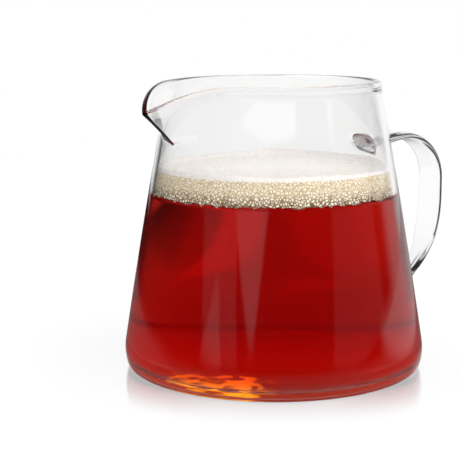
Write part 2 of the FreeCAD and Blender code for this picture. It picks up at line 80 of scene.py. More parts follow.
class Node(Enum):
    """Solids of the frame that the pieces built here stand for."""

    JUG = "glass_jug"
    DRINK = "coffee"
    FOAM = "foam"


class Slot(Enum):
    """Material slots of the record. Nothing here reads them; the pieces make their own finish."""

    GLASS = "clear_glass"
    DRINK = "coffee"
    FOAM = "foam"


@dataclass(frozen=True)
class Ease:
    """A smooth step from start to end while a value runs from low to high."""

    low: float
    high: float
    start: float = 0.0
    end: float = 1.0


class Graph:
    """A node tree with short ways to add nodes and to join them."""

    def __init__(self, tree: bpy.types.NodeTree) -> None:
        """Empty the tree, so that every node in it is made here."""
        self.tree = tree
        tree.nodes.clear()

    def add(self, kind: str, settings: dict | None = None, **values: object) -> bpy.types.Node:
        """Add a node.

        Args:
            kind: Blender's name of the node's type.
            settings: Properties of the node.
            **values: Input values by name, with _ for a blank. A socket is linked instead.

        Returns:
            The new node.
        """
        node = self.tree.nodes.new(kind)
        for name, value in (settings or {}).items():
            setattr(node, name, value)
        for name, value in values.items():
            self.put(node.inputs[name.replace("_", " ")], value)
        return node

    def put(self, target: Socket, value: object) -> None:
        """Give an input a value, or link it where the value is a socket.

        Args:
            target: The input.
            value: The value or socket.
        """
        if isinstance(value, Socket):
            self.tree.links.new(value, target)
        else:
            target.default_value = value

    def math(self, operation: str, *operands: object) -> Socket:
        """Add a Math node.

        Args:
            operation: What it works out.
            *operands: Numbers or sockets.

        Returns:
            The socket that holds the result.
        """
        node = self.add("ShaderNodeMath", {"operation": operation})
        for target, value in zip(node.inputs, operands):
            self.put(target, value)
        return node.outputs[0]

    def times(self, *factors: object) -> Socket:
        """Multiply two or more numbers or sockets."""
        return reduce(lambda product, factor: self.math("MULTIPLY", product, factor), factors)

    def most(self, *operands: object) -> Socket:
        """Take the largest of two or more numbers or sockets."""
        return reduce(lambda largest, operand: self.math("MAXIMUM", largest, operand), operands)

    def left_of(self, share: Socket) -> Socket:
        """Take a share away from one."""
        return self.math("SUBTRACT", 1.0, share)

    def smooth(self, value: Socket, step: Ease) -> Socket:
        """Map a value through a smooth step.

        Args:
            value: Socket that is mapped.
            step: Where the step begins and ends, and what it leads from and to.

        Returns:
            The socket that holds the result.
        """
        node = self.add("ShaderNodeMapRange", {"interpolation_type": "SMOOTHSTEP"})
        for name, number in zip(("From Min", "From Max", "To Min", "To Max"), astuple(step)):
            node.inputs[name].default_value = number
        self.put(node.inputs["Value"], value)
        return node.outputs["Result"]

    def choose(self, factor: object, first: object, second: object) -> Socket:
        """Mix two numbers.

        Args:
            factor: Share of the second number.
            first: Number or socket.
            second: Number or socket.

        Returns:
            The socket that holds the result.
        """
        node = self.add("ShaderNodeMix", {"data_type": "FLOAT"})
        for target, value in zip((node.inputs[0], node.inputs[2], node.inputs[3]), (factor, first, second)):
            self.put(target, value)
        return node.outputs[0]

    def mix(self, factor: object, first: object, second: object) -> Socket:
        """Mix two colours.

        Args:
            factor: Share of the second colour.
            first: Colour or socket.
            second: Colour or socket.

        Returns:
            The socket that holds the mixed colour.
        """
        node = self.add("ShaderNodeMix", {"data_type": "RGBA"})
        self.put(node.inputs[0], factor)
        for target, colour in zip(node.inputs[6:8], (first, second)):
            self.put(target, colour if isinstance(colour, Socket) else (*colour, 1.0))
        return node.outputs[2]


def new_material(name: str) -> tuple[bpy.types.Material, Graph, bpy.types.Node]:
    """Make a material with a Principled shader and nothing else in it.

    Args:
        name: Name of the material.

    Returns:
        The material, its graph and the Principled node.
    """
    material = bpy.data.materials.new(name)
    material.use_nodes = True
    graph = Graph(material.node_tree)
    shader = graph.add("ShaderNodeBsdfPrincipled")
    output = graph.add("ShaderNodeOutputMaterial")
    graph.put(output.inputs["Surface"], shader.outputs[0])
    return material, graph, shader


def clear_material(name: str, tint: Colour, density: float
                   ) -> tuple[bpy.types.Material, Graph, bpy.types.Node]:
    """Make a see-through material that takes its colour from its depth.

    Args:
        name: Name of the material.
        tint: Colour that it lets through.
        density: How fast it takes the rest out of the light, per metre.

    Returns:
        The material, its graph and the Principled node.
    """
    material, graph, shader = new_material(name)
    shader.inputs["Transmission Weight"].default_value = 1.0
    shader.inputs["Base Color"].default_value = (*WHITE, 1.0)
    depth = graph.add("ShaderNodeVolumeAbsorption", Color=(*tint, 1.0), Density=density)
    graph.put(graph.tree.nodes["Material Output"].inputs["Volume"], depth.outputs[0])
    return material, graph, shader


def object_point(graph: Graph) -> Socket:
    """Add the place on the object in metres, the same in every view."""
    return graph.add("ShaderNodeTexCoord").outputs["Object"]


def along_view(graph: Graph, value: Socket) -> tuple[Socket, Socket]:
    """Split a place or a direction into its parts away from the camera's side and across.

    Args:
        graph: The graph that it is in.
        value: Socket of the place or direction.

    Returns:
        The part that points away from the camera's side, and the part to its right.
    """
    away = (-math.sin(VIEW_AZIMUTH), math.cos(VIEW_AZIMUTH), 0.0)
    right = (math.cos(VIEW_AZIMUTH), math.sin(VIEW_AZIMUTH), 0.0)
    parts = []
    for way in (away, right):
        node = graph.add("ShaderNodeVectorMath", {"operation": "DOT_PRODUCT"})
        graph.put(node.inputs[0], value)
        node.inputs[1].default_value = way
        parts.append(node.outputs["Value"])
    return parts[0], parts[1]


def ripple(graph: Graph, shader: bpy.types.Node, height: Socket, strength: float, depth: float) -> None:
    """Dent a surface without moving it.

    Args:
        graph: The material's graph.
        shader: The shader whose surface it is.
        height: Socket of the relief, from 0 to 1.
        strength: Share of the relief that shows.
        depth: Depth of the relief in metres.
    """
    bump = graph.add("ShaderNodeBump", Strength=strength, Distance=depth, Height=height)
    graph.put(shader.inputs["Normal"], bump.outputs[0])


def surface_object(name: str, points: np.ndarray, faces: Sequence[Sequence[int]],
                   material: bpy.types.Material) -> bpy.types.Object:
    """Make a smooth mesh object.

    Args:
        name: Name of the object and of its mesh.
        points: Vertices in millimetres, one row each.
        faces: Corner indices of each face.
        material: What it is made of.

    Returns:
        The object, linked into the scene.
    """
    mesh = bpy.data.meshes.new(name)
    mesh.from_pydata((np.asarray(points) * MM).tolist(), [], faces)
    mesh.validate()
    mesh.shade_smooth()
    mesh.materials.append(material)
    piece = bpy.data.objects.new(name, mesh)
    bpy.context.scene.collection.objects.link(piece)
    return piece


def ring_faces(rows: int, columns: int) -> list[list[int]]:
    """Work out the quads between closed rings of vertices.

    Args:
        rows: Number of rings.
        columns: Vertices in each ring.

    Returns:
        Quads that face outward where the rings climb counter-clockwise.
    """
    below = np.arange((rows - 1) * columns).reshape(rows - 1, columns)
    across = np.roll(below, -1, axis=1)
    quads = np.stack((below, across, across + columns, below + columns), axis=-1)
    return quads.reshape(-1, 4).tolist()


def closed_turning(rings: Sequence[np.ndarray], start: Sequence[float],
                   end: Sequence[float]) -> tuple[np.ndarray, list[Sequence[int]]]:
    """Join rings of vertices into one closed skin with a point at either end.

    Args:
        rings: Rings of vertices from the first pole to the last.
        start: Pole below the first ring.
        end: Pole above the last ring.

    Returns:
        All vertices, and the faces between them.
    """
    columns = len(rings[0])
    points = np.vstack([*rings, [start], [end]])
    faces = ring_faces(len(rings), columns)
    first_pole, last_pole = len(points) - 2, len(points) - 1
    base = (len(rings) - 1) * columns
    for column in range(columns):
        after = (column + 1) % columns
        faces.append((after, column, first_pole))
        faces.append((base + column, base + after, last_pole))
    return points, faces


def arc_points(centre: tuple[float, float], radius: float, first: float, last: float,
               count: int) -> list[tuple[float, float]]:
    """Work out points along an arc, both ends included.

    Args:
        centre: Middle of the arc.
        radius: Its radius.
        first: Angle of the first point, in radians.
        last: Angle of the last point.
        count: Number of points.

    Returns:
        The points.
    """
    return [
        (centre[0] + radius * math.cos(angle), centre[1] + radius * math.sin(angle))
        for angle in np.linspace(first, last, count)
    ]


@dataclass(frozen=True)
class GlassFinish:
    """Clear blown glass, faintly grey where the light takes a long way through it.

    The handle bends light less than the wall does, from a short way off the wall's line on.
    """

    wall_foot: float = 0.0669
    wall_slope: float = 0.174
    bending: Ease = Ease(0.020, 0.030, 1.474, 1.16)
    density: float = 14.0
    tint: Colour = (0.42, 0.35, 0.36)
    wave_scale: float = 38.0
    wave_detail: float = 1.0
    wave_strength: float = 0.02
    wave_depth: float = 0.002
    speck_scale: float = 240.0
    speck_detail: float = 3.0
    specks: Ease = Ease(0.55, 0.8, 0.0, 0.012)

    def material(self) -> bpy.types.Material:
        """Make the glass, with the slow unevenness of blown glass in its surface.

        Returns:
            The material.
        """
        material, graph, shader = clear_material("blown_glass", self.tint, self.density)
        place = object_point(graph)
        parts = graph.add("ShaderNodeSeparateXYZ", Vector=place)
        lean = graph.times(parts.outputs["Z"], self.wall_slope)
        past = graph.math("SUBTRACT", graph.math("ADD", parts.outputs["X"], lean), self.wall_foot)
        graph.put(shader.inputs["IOR"], graph.smooth(past, self.bending))
        waves = graph.add(
            "ShaderNodeTexNoise", Vector=place, Scale=self.wave_scale, Detail=self.wave_detail)
        ripple(graph, shader, waves.outputs["Fac"], self.wave_strength, self.wave_depth)
        specks = graph.add(
            "ShaderNodeTexNoise", Vector=place, Scale=self.speck_scale, Detail=self.speck_detail)
        graph.put(shader.inputs["Roughness"], graph.smooth(specks.outputs["Fac"], self.specks))
        return material


@dataclass(frozen=True)
class DrinkFinish:
    """Brewed coffee, which lets red through and stops green and blue within millimetres."""

    bending: float = 1.333
    density: float = 70.0
    tint: Colour = (0.885, 0.15, 0.01)
    haze: float = 0.08
    wave_scale: float = 22.0
    wave_detail: float = 0.0
    wave_strength: float = 0.01
    wave_depth: float = 0.002

    def material(self) -> bpy.types.Material:
        """Make the drink: a still clear liquid with its colour in its depth.

        Returns:
            The material.
        """
        material, graph, shader = clear_material("brewed_coffee", self.tint, self.density)
        shader.inputs["IOR"].default_value = self.bending
        shader.inputs["Roughness"].default_value = self.haze
        place = object_point(graph)
        waves = graph.add(
            "ShaderNodeTexNoise", Vector=place, Scale=self.wave_scale, Detail=self.wave_detail)
        ripple(graph, shader, waves.outputs["Fac"], self.wave_strength, self.wave_depth)
        return material


@dataclass(frozen=True)
class FoamFinish:
    """Wet foam: pale bubbles with a darker film of drink between them, and a painted highlight at the heart
    of each.
    """

    bubble_size: float = 1.2
    film: Colour = (0.64, 0.49, 0.28)
    wall: Colour = (0.98, 0.90, 0.72)
    # Colour of the painted highlight at the heart of each bubble.
    painted_highlight: Colour = (1.0, 0.98, 0.92)
    dry_top: Colour = (1.0, 0.965, 0.965)
    drained: Colour = (0.16, 0.07, 0.02)
    inside: Ease = Ease(0.02, 0.24)
    shine: Ease = Ease(0.30, 0.10)
    wet_height: Ease = Ease(0.0770, 0.0830, 1.0, 0.0)
    dry_height: Ease = Ease(0.0861, 0.0871)
    dry_share: float = 0.85
    gloss: Ease = Ease(0.0, 1.0, 0.45, 0.2)
    relief_strength: float = 0.6
    relief_depth: float = 0.0004
    glow_share: float = 0.25
    glow_reach: Colour = (1.0, 0.7, 0.45)
    glow_scale: float = 0.002
    wet_coat: float = 0.3

    def material(self) -> bpy.types.Material:
        """Make the foam, wetter and browner near the drink and paler on its top.

        Returns:
            The material.
        """
        material, graph, shader = new_material("wet_foam")
        place = object_point(graph)
        scale = 1.0 / (self.bubble_size * MM)
        edge = graph.add("ShaderNodeTexVoronoi", {"feature": "DISTANCE_TO_EDGE"}, Vector=place, Scale=scale)
        heart = graph.add("ShaderNodeTexVoronoi", {"feature": "F1"}, Vector=place, Scale=scale)
        inside = graph.smooth(edge.outputs["Distance"], self.inside)
        # A painted highlight: paler towards the heart of each bubble, where the roughness drops too.
        shine = graph.smooth(heart.outputs["Distance"], self.shine)
        body = graph.mix(inside, self.film, self.wall)
        body = graph.mix(shine, body, self.painted_highlight)
        height = graph.add("ShaderNodeSeparateXYZ", Vector=place).outputs["Z"]
        wet = graph.times(graph.smooth(height, self.wet_height), graph.left_of(inside))
        body = graph.mix(wet, body, self.drained)
        dry = graph.times(graph.smooth(height, self.dry_height), self.dry_share)
        body = graph.mix(dry, body, self.dry_top)
        graph.put(shader.inputs["Base Color"], body)
        graph.put(shader.inputs["Roughness"], graph.smooth(shine, self.gloss))
        shader.inputs["Subsurface Weight"].default_value = self.glow_share
        shader.inputs["Subsurface Radius"].default_value = self.glow_reach
        shader.inputs["Subsurface Scale"].default_value = self.glow_scale
        shader.inputs["Coat Weight"].default_value = self.wet_coat
        ripple(graph, shader, inside, self.relief_strength, self.relief_depth)
        return material


@dataclass(frozen=True)
class JugForm:
    """Sizes of the blown glass in millimetres, and the surfaces that follow from them."""

    total_height: float = 124.0
    foot_height: float = 12.0
    foot_radius: float = 64.8
    rim_radius: float = 45.3
    foot_inset: float = 4.3
    corner_radius: float = 4.0
    ring_width: float = 8.5
    punt_depth: float = 0.8
    wall_thickness: float = 2.4
    floor_thickness: float = 3.2
    wall_bow: float = 0.5
    keel_rise: float = 13.5
    keel_bury: float = 0.1
    lip_reach: float = 18.3
    lip_drop: float = 11.0
    dip_lead: float = 9.3
    nose_radius: float = 3.0
    inner_nose_radius: float = 0.6
    wave: float = 0.05
    # Each wave has its size, its turns round the axis, its pitch in height and its start.
    waves: tuple[tuple[float, float, float, float], ...] = ((1.0, 3.0, 31.0, 0.0), (0.6, 5.0, -17.0, 1.3))
    calm_height: float = 12.0
    bead_swell: float = 0.35
    bead_reach: float = 2.2
    middle_reach: float = 6.0
    step_width: float = 6.0
    rim_search: float = 8.0
    rim_halvings: int = 32
    hollow_rings: int = 9
    contact_rings: int = 7
    corner_rings: int = 12
    bore_rings: int = 16

    @property
    def tip_reach(self) -> float:
        """Axis to the tip of the lip."""
        return self.rim_radius + self.lip_reach

    @property
    def lean(self) -> float:
        """Angle by which the wall leans in, in radians."""
        return math.atan2(self.foot_radius - self.rim_radius, self.total_height - self.foot_height)

    def wall_radius(self, height: np.ndarray | float) -> np.ndarray | float:
        """Outside radius of the wall, which bows out a little between foot and rim.

        Args:
            height: Height above the table.

        Returns:
            The distance from the axis to the outside of the wall.
        """
        share = np.clip((height - self.foot_height) / (self.total_height - self.foot_height), 0.0, 1.0)
        straight = self.foot_radius + (self.rim_radius - self.foot_radius) * share
        return straight + 4.0 * self.wall_bow * share * (1.0 - share)

    def unevenness(self, azimuth: np.ndarray, height: np.ndarray | float) -> np.ndarray:
        """Slow change in the inside of the wall, as blowing leaves it.

        Args:
            azimuth: Angle about the axis from the lip, in radians.
            height: Height above the table.

        Returns:
            How much further out the inside lies, for each azimuth.
        """
        turn = sum(size * np.sin(turns * azimuth + height / pitch + start)
                   for size, turns, pitch, start in self.waves)
        return self.wave * turn

    def settled(self, height: float) -> float:
        """Share of the unevenness at a height, which starts from none at the foot of the wall."""
        return min(1.0, (height - self.foot_height) / self.calm_height)

    def section(self, azimuth: np.ndarray, height: np.ndarray | float, inside: bool) -> np.ndarray:
        """Radius of a level section: the wall's circle, drawn out to the nose of the lip.

        Args:
            azimuth: Angle about the axis from the lip, in radians.
            height: Height of the section.
            inside: Whether it is the inside of the glass.

        Returns:
            The distance from the axis, for each azimuth.
        """
        inset = self.wall_thickness if inside else 0.0
        nose = self.inner_nose_radius if inside else self.nose_radius
        keel = self.total_height - self.lip_drop - self.keel_rise
        start = self.wall_radius(keel) - self.keel_bury
        climb = (self.tip_reach - start) / self.keel_rise
        radius = self.wall_radius(height) - inset + 0.0 * azimuth
        centre = start + climb * (height - keel) - self.nose_radius + 0.0 * azimuth
        drawn = centre > radius - nose + HAIR
        turn = np.arccos(np.clip((radius - nose) / np.where(drawn, centre, radius), -1.0, 1.0))
        turn = np.where(drawn, turn, 0.0)
        angle = np.abs(azimuth)
        flank = radius / np.cos(angle - turn)
        tangent = np.arctan2(nose * np.sin(turn), centre + nose * np.cos(turn))
        bulge = np.sqrt(np.maximum(nose ** 2 - (centre * np.sin(angle)) ** 2, 0.0))
        rounded = centre * np.cos(angle) + bulge
        reach = np.where(angle < tangent, rounded, np.where(angle < turn, flank, radius))
        reach = np.where(drawn, reach, radius)
        return reach + (self.unevenness(azimuth, height) if inside else 0.0)

    def rim_height(self, along_lip: np.ndarray) -> np.ndarray:
        """Height of the rim at a distance from the axis toward the lip: level, then an arc down.

        Args:
            along_lip: Distances from the axis toward the lip.

        Returns:
            The height of the rim, for each distance.
        """
        start = self.rim_radius - self.dip_lead
        span = self.tip_reach - start
        radius = (span ** 2 + self.lip_drop ** 2) / (2.0 * self.lip_drop)
        beyond = np.clip(along_lip - start, 0.0, radius)
        return self.total_height - radius + np.sqrt(radius ** 2 - beyond ** 2)

    def rim_level(self, azimuth: np.ndarray, inside: bool) -> np.ndarray:
        """Height at which each azimuth of the wall or of its bore meets the rim.

        Args:
            azimuth: Angles about the axis from the lip, in radians.
            inside: Whether it is the inside of the glass.

        Returns:
            The height of the rim, for each azimuth.
        """
        low = np.full_like(azimuth, self.total_height - self.lip_drop - self.rim_search)
        high = np.full_like(azimuth, self.total_height)
        for _ in range(self.rim_halvings):
            middle = (low + high) / 2.0
            reach = self.section(azimuth, middle, inside) * np.cos(azimuth)
            above = middle > self.rim_height(reach)
            high = np.where(above, middle, high)
            low = np.where(above, low, middle)
        return (low + high) / 2.0

    def foot_outline(self) -> list[tuple[float, float]]:
        """Work out the outside of the base, from its middle to the foot of the wall.

        Returns:
            Points from near the axis outward and up, as radius and height.
        """
        contact = self.foot_radius - self.foot_inset
        ring_in = contact - self.ring_width
        inward = Vector((-math.cos(self.lean), -math.sin(self.lean)))
        foot = Vector((self.foot_radius, self.foot_height))
        corner = Vector((contact, self.corner_radius))
        gap = foot - corner
        reach = (gap.length_squared - self.corner_radius ** 2) / (
            -2.0 * gap.dot(inward) - 2.0 * self.corner_radius)
        flank = foot + inward * reach
        away = corner - flank
        meeting = math.atan2(away.y, away.x)
        step_in = ring_in - self.step_width
        hollow = [
            (radius, self.punt_depth)
            for radius in np.linspace(self.middle_reach, step_in, self.hollow_rings)
        ]
        step = [
            (ring_in - self.step_width * (1.0 - share),
             self.punt_depth * (1.0 + math.cos(math.pi * share)) / 2.0)
            for share in np.linspace(0.0, 1.0, self.hollow_rings)[1:]
        ]
        ring = [(radius, 0.0) for radius in np.linspace(ring_in, contact, self.contact_rings)[1:]]
        turned = arc_points(tuple(corner), self.corner_radius, -math.pi / 2.0, meeting, self.corner_rings)
        rising = arc_points(tuple(flank), reach, meeting, self.lean, self.corner_rings)
        return hollow + step + ring + turned[1:] + rising[1:]

    def bore_foot(self, grow: float = 0.0) -> list[tuple[float, float]]:
        """Work out the inside of the base, from its middle to the foot of the wall.

        Args:
            grow: How far the outline is moved into the glass.

        Returns:
            Points from near the axis outward and up, as radius and height.
        """
        radius = (self.foot_height - self.floor_thickness) / (1.0 + math.sin(self.lean))
        centre_x = self.foot_radius - self.wall_thickness - radius * math.cos(self.lean)
        centre_z = self.floor_thickness + radius
        level = self.floor_thickness - grow
        floor = [
            (reach, level) for reach in np.linspace(self.middle_reach, centre_x, self.corner_rings)
        ]
        corner = arc_points(
            (centre_x, centre_z), radius + grow, -math.pi / 2.0, self.lean, self.bore_rings)
        return floor + corner[1:]


@dataclass(frozen=True)
class StrapForm:
    """Sizes of the ribbon handle in millimetres, and its middle line."""

    heel_height: float = 24.5
    heel_run: float = 2.5
    rise_radius: float = 45.0
    arch_radius: float = 20.0
    grip_run: float = 7.0
    grip_radius: float = 80.0
    grip_turn: float = math.radians(15.0)
    tail_radius: float = 40.0
    tail_turn: float = math.radians(46.0)
    root: tuple[float, float] = (17.5, 6.0)
    strap: tuple[float, float] = (15.5, 3.4)
    tail: tuple[float, float] = (5.4, 3.6)
    heel: tuple[float, float] = (9.0, 5.6)
    flare: float = 2.8
    sunk: float = 1.2
    side_power: float = 0.55
    face_power: float = 0.85
    follow_reach: float = 7.0
    follow_fade: float = 4.5
    follow_rounds: int = 3
    fit_rounds: int = 60
    fit_start: float = 0.3
    fit_damping: float = 0.5
    fit_limit: float = 0.9
    # How far each section has come from the one before to the one after it.
    rise_share: float = 0.6
    tail_shares: tuple[float, float] = (0.12, 0.55)
    heel_share: float = 0.3
    size_step: float = 0.25
    size_blend: int = 33
    size_margin: float = 12.0

    def runs(self, rise: float) -> list[tuple[float, float]]:
        """Work out the runs of the line from the upper wall to the lower wall.

        Args:
            rise: Heading at the start above level, in radians.

        Returns:
            Length and curvature of each run.
        """
        return [
            (self.rise_radius * rise, -1.0 / self.rise_radius),
            (self.arch_radius * math.pi / 2.0, -1.0 / self.arch_radius),
            (self.grip_run, 0.0),
            (self.grip_radius * self.grip_turn, -1.0 / self.grip_radius),
            (self.tail_radius * self.tail_turn, -1.0 / self.tail_radius),
            (self.heel_run + self.sunk, 0.0),
        ]

    def trace(self, rise: float, stations: np.ndarray) -> tuple[np.ndarray, np.ndarray]:
        """Follow the middle line from a start at the origin.

        Args:
            rise: Heading at the start above level, in radians.
            stations: Distances along the line.

        Returns:
            The place of each station in the XZ plane, and its heading in radians.
        """
        places, headings = [], []
        for distance in stations:
            here, heading, left = np.zeros(2), rise, distance
            for length, curvature in self.runs(rise):
                step = min(left, length)
                after = heading + curvature * step
                if curvature:
                    here = here + np.array((math.sin(after) - math.sin(heading),
                                            math.cos(heading) - math.cos(after))) / curvature
                else:
                    here = here + step * np.array((math.cos(heading), math.sin(heading)))
                heading, left = after, left - step
            places.append(here)
            headings.append(heading)
        return np.array(places), np.array(headings)

    def length(self, rise: float) -> float:
        """Length of the whole middle line."""
        return sum(length for length, _ in self.runs(rise))

    def fitted(self, form: JugForm) -> tuple[np.ndarray, float]:
        """Find where the line starts and how steeply, so that both ends reach the wall.

        Args:
            form: The wall that the handle is fused to.

        Returns:
            The start of the line in the XZ plane and its rise in radians.
        """
        rise, start = self.fit_start, np.zeros(2)
        for _ in range(self.fit_rounds):
            ends, headings = self.trace(rise, np.array([self.length(rise)]))
            heel = np.array((math.cos(headings[0]), math.sin(headings[0])))
            end_z = self.heel_height + heel[1] * (self.heel_run + self.sunk)
            end_x = form.wall_radius(end_z) - self.sunk
            start = np.array((end_x, end_z)) - ends[0]
            off = start[0] - (form.wall_radius(start[1]) - self.sunk)
            turn = max(-self.fit_limit, min(self.fit_limit, off / self.rise_radius))
            rise = rise + self.fit_damping * math.asin(turn)
        return start, rise

    def sizes(self, rise: float, stations: np.ndarray) -> tuple[np.ndarray, np.ndarray]:
        """Width and thickness of the ribbon along its line.

        Args:
            rise: Heading at the start above level, in radians.
            stations: Distances along the line.

        Returns:
            Widths and thicknesses.
        """
        ends = np.cumsum([0.0] + [length for length, _ in self.runs(rise)])
        third = (ends[5] - ends[4]) / 3.0
        # Each mark has its distance along the line, and the width and thickness there.
        marks = (
            (0.0, self.root),
            (0.5 * ends[1], self.between(self.root, self.strap, self.rise_share)),
            (ends[1], self.strap),
            (ends[3], self.strap),
            (0.5 * (ends[3] + ends[4]), self.strap),
            (ends[4], self.between(self.strap, self.tail, self.tail_shares[0])),
            (ends[4] + third, self.between(self.strap, self.tail, self.tail_shares[1])),
            (ends[4] + 2.0 * third, self.tail),
            (ends[5], self.between(self.tail, self.heel, self.heel_share)),
            (ends[6], self.heel),
        )
        along = np.array([mark for mark, _ in marks])
        fine = np.arange(-self.size_margin, ends[6] + self.size_margin, self.size_step)
        kernel = np.hanning(self.size_blend)
        kernel = kernel / kernel.sum()
        result = []
        for part in range(2):
            plain = np.interp(fine, along, [size[part] for _, size in marks])
            padded = np.pad(plain, self.size_blend // 2, mode="edge")
            result.append(np.interp(stations, fine, np.convolve(padded, kernel, mode="valid")))
        return result[0], result[1]

    @staticmethod
    def between(first: tuple[float, float], last: tuple[float, float],
                share: float) -> tuple[float, float]:
        """Take a width and thickness part of the way between two.

        Args:
            first: Width and thickness at the start.
            last: Width and thickness at the end.
            share: Share of the way.

        Returns:
            The width and thickness there.
        """
        return (first[0] + (last[0] - first[0]) * share, first[1] + (last[1] - first[1]) * share)


@dataclass
class Jug:
    """The server itself: base, wall, lip and handle as one skin of glass."""

    form: JugForm
    strap: StrapForm
    finish: GlassFinish
    wall_rows: int = 26
    lip_rows: int = 34
    rim_rows: int = 12
    lip_zone: float = 84.0
    lip_crowding: float = 1.6
    strap_columns: int = 44
    strap_spacing: float = 1.15
    flare_sections: int = 9
    strap_ends: tuple[float, float] = (0.6, 0.4)
    # Angles off the lip in degrees: one by one at the nose, then from, to and spacing.
    nose_columns: tuple[float, ...] = (
        0.0, 0.12, 0.25, 0.4, 0.6, 0.85, 1.15, 1.5, 1.9, 2.35, 2.85, 3.4, 4.0, 4.8, 5.8, 7.0, 8.4)
    side_columns: tuple[float, float, float] = (10.0, 160.0, 2.0)
    handle_columns: tuple[float, float, float] = (160.0, 180.0, 1.25)

    def azimuths(self) -> np.ndarray:
        """Place the columns about the axis, close together at the lip and at the handle.

        Returns:
            Their angles off the lip, in radians.
        """
        half = np.concatenate(
            (self.nose_columns, np.arange(*self.side_columns), np.arange(*self.handle_columns)))
        right = np.radians(half[1:])
        return np.concatenate((-right[::-1], [0.0], right, [math.pi]))

    @staticmethod
    def ring(azimuth: np.ndarray, radius: np.ndarray | float, height: np.ndarray | float) -> np.ndarray:
        """Work out the vertices of one ring about the axis.

        Args:
            azimuth: Angles off the lip, in radians.
            radius: Distance from the axis, one for all or one each.
            height: Height above the table, one for all or one each.

        Returns:
            The vertices, one row each.
        """
        reach = radius + 0.0 * azimuth
        level = height + 0.0 * azimuth
        return np.stack((-reach * np.cos(azimuth), -reach * np.sin(azimuth), level), axis=-1)

    def side(self, azimuth: np.ndarray, inside: bool) -> list[np.ndarray]:
        """Rings of the wall from above the foot to just below the rim.

        Args:
            azimuth: Angles of the columns.
            inside: Whether it is the inside of the glass.

        Returns:
            The rings from low to high.
        """
        form = self.form
        rings = []
        for height in np.linspace(form.foot_height, self.lip_zone, self.wall_rows)[1:]:
            radius = form.section(azimuth, height, inside)
            if inside:
                radius = radius - (1.0 - form.settled(height)) * form.unevenness(azimuth, height)
            rings.append(self.ring(azimuth, radius, height))
        top = form.rim_level(azimuth, inside) - form.wall_thickness / 2.0
        for share in np.linspace(0.0, 1.0, self.lip_rows)[1:]:
            height = self.lip_zone + (top - self.lip_zone) * (1.0 - (1.0 - share) ** self.lip_crowding)
            swell = form.bead_swell * np.exp(-((top - height) / form.bead_reach) ** 2)
            radius = form.section(azimuth, height, inside) + (-swell if inside else swell)
            rings.append(self.ring(azimuth, radius, height))
        return rings

    def shell(self, material: bpy.types.Material) -> bpy.types.Object:
        """Build the glass without its handle.

        Args:
            material: The glass.

        Returns:
            The closed skin, outside and inside.
        """
        form = self.form
        azimuth = self.azimuths()
        outside = [self.ring(azimuth, reach, height) for reach, height in form.foot_outline()]
        outside += self.side(azimuth, inside=False)
        inside = [self.ring(azimuth, reach, height) for reach, height in form.bore_foot()]
        inside += self.side(azimuth, inside=True)
        outer, inner = outside[-1], inside[-1]
        bead = []
        for angle in np.linspace(0.0, math.pi, self.rim_rows + 1)[1:-1]:
            level = outer * (1.0 + math.cos(angle)) / 2.0 + inner * (1.0 - math.cos(angle)) / 2.0
            bead.append(level + np.array((0.0, 0.0, form.wall_thickness / 2.0 * math.sin(angle))))
        rings = outside + bead + inside[::-1]
        points, faces = closed_turning(
            rings, (0.0, 0.0, form.punt_depth), (0.0, 0.0, form.floor_thickness))
        return surface_object("server_glass", points, faces, material)

    def ribbon(self, material: bpy.types.Material) -> bpy.types.Object:
        """Build the handle as a closed ribbon whose flared ends lie inside the wall.

        Args:
            material: The glass.

        Returns:
            The handle.
        """
        strap, form = self.strap, self.form
        start, rise = strap.fitted(form)
        length = strap.length(rise)
        turn = np.linspace(math.pi / 2.0, 0.0, self.flare_sections)
        near = strap.sunk + strap.flare * (1.0 - np.sin(turn))
        ends = np.concatenate(([0.0, strap.sunk / 2.0], near))
        first, last = self.strap_ends
        middle = np.arange(ends[-1] + first, length - ends[-1] - last, self.strap_spacing)
        stations = np.concatenate((ends, middle, (length - ends)[::-1]))
        places, headings = strap.trace(rise, stations)
        widths, thicknesses = strap.sizes(rise, stations)
        angle = np.linspace(0.0, 2.0 * math.pi, self.strap_columns, endpoint=False)
        rings = []
        for place, heading, width, thick in zip(places, headings, widths, thicknesses):
            along = np.array((math.cos(heading), 0.0, math.sin(heading)))
            centre = np.array((place[0] + start[0], 0.0, place[1] + start[1]))
            rings.append(self.flared(centre, along, angle, width, thick))
        points, faces = closed_turning(rings, rings[0].mean(axis=0), rings[-1].mean(axis=0))
        return surface_object("handle_glass", points, faces, material)

    def flared(self, centre: np.ndarray, along: np.ndarray, angle: np.ndarray,
               width: float, thick: float) -> np.ndarray:
        """Vertices of one section of the ribbon, drawn out where it comes close to the wall.

        Args:
            centre: Middle of the section.
            along: Direction of the ribbon.
            angle: Angles of the vertices about the middle.
            width: Width of the section.
            thick: Thickness of the section.

        Returns:
            The ring of vertices.
        """
        form, strap = self.form, self.strap
        over = np.array((-along[2], 0.0, along[0]))
        side = np.array((0.0, 1.0, 0.0))
        across = np.sign(np.cos(angle)) * np.abs(np.cos(angle)) ** strap.side_power
        up = np.sign(np.sin(angle)) * np.abs(np.sin(angle)) ** strap.face_power
        depth = math.hypot(centre[0], centre[1]) - form.wall_radius(centre[2])
        clear = min(max(depth, 0.0), strap.flare)
        grow = strap.flare - math.sqrt(strap.flare ** 2 - (strap.flare - clear) ** 2)
        points = (centre + np.outer(across * (width / 2.0 + grow), side)
                  + np.outer(up * (thick / 2.0 + grow), over))
        follow = min(max((strap.follow_reach - depth) / strap.follow_fade, 0.0), 1.0)
        out = 1.0 if along[0] > 0.0 else -1.0
        for _ in range(strap.follow_rounds):
            off = np.hypot(points[:, 0], points[:, 1]) - form.wall_radius(points[:, 2])
            points = points + np.outer((depth - off) * follow * out / abs(along[0] + TINY), along)
        return points

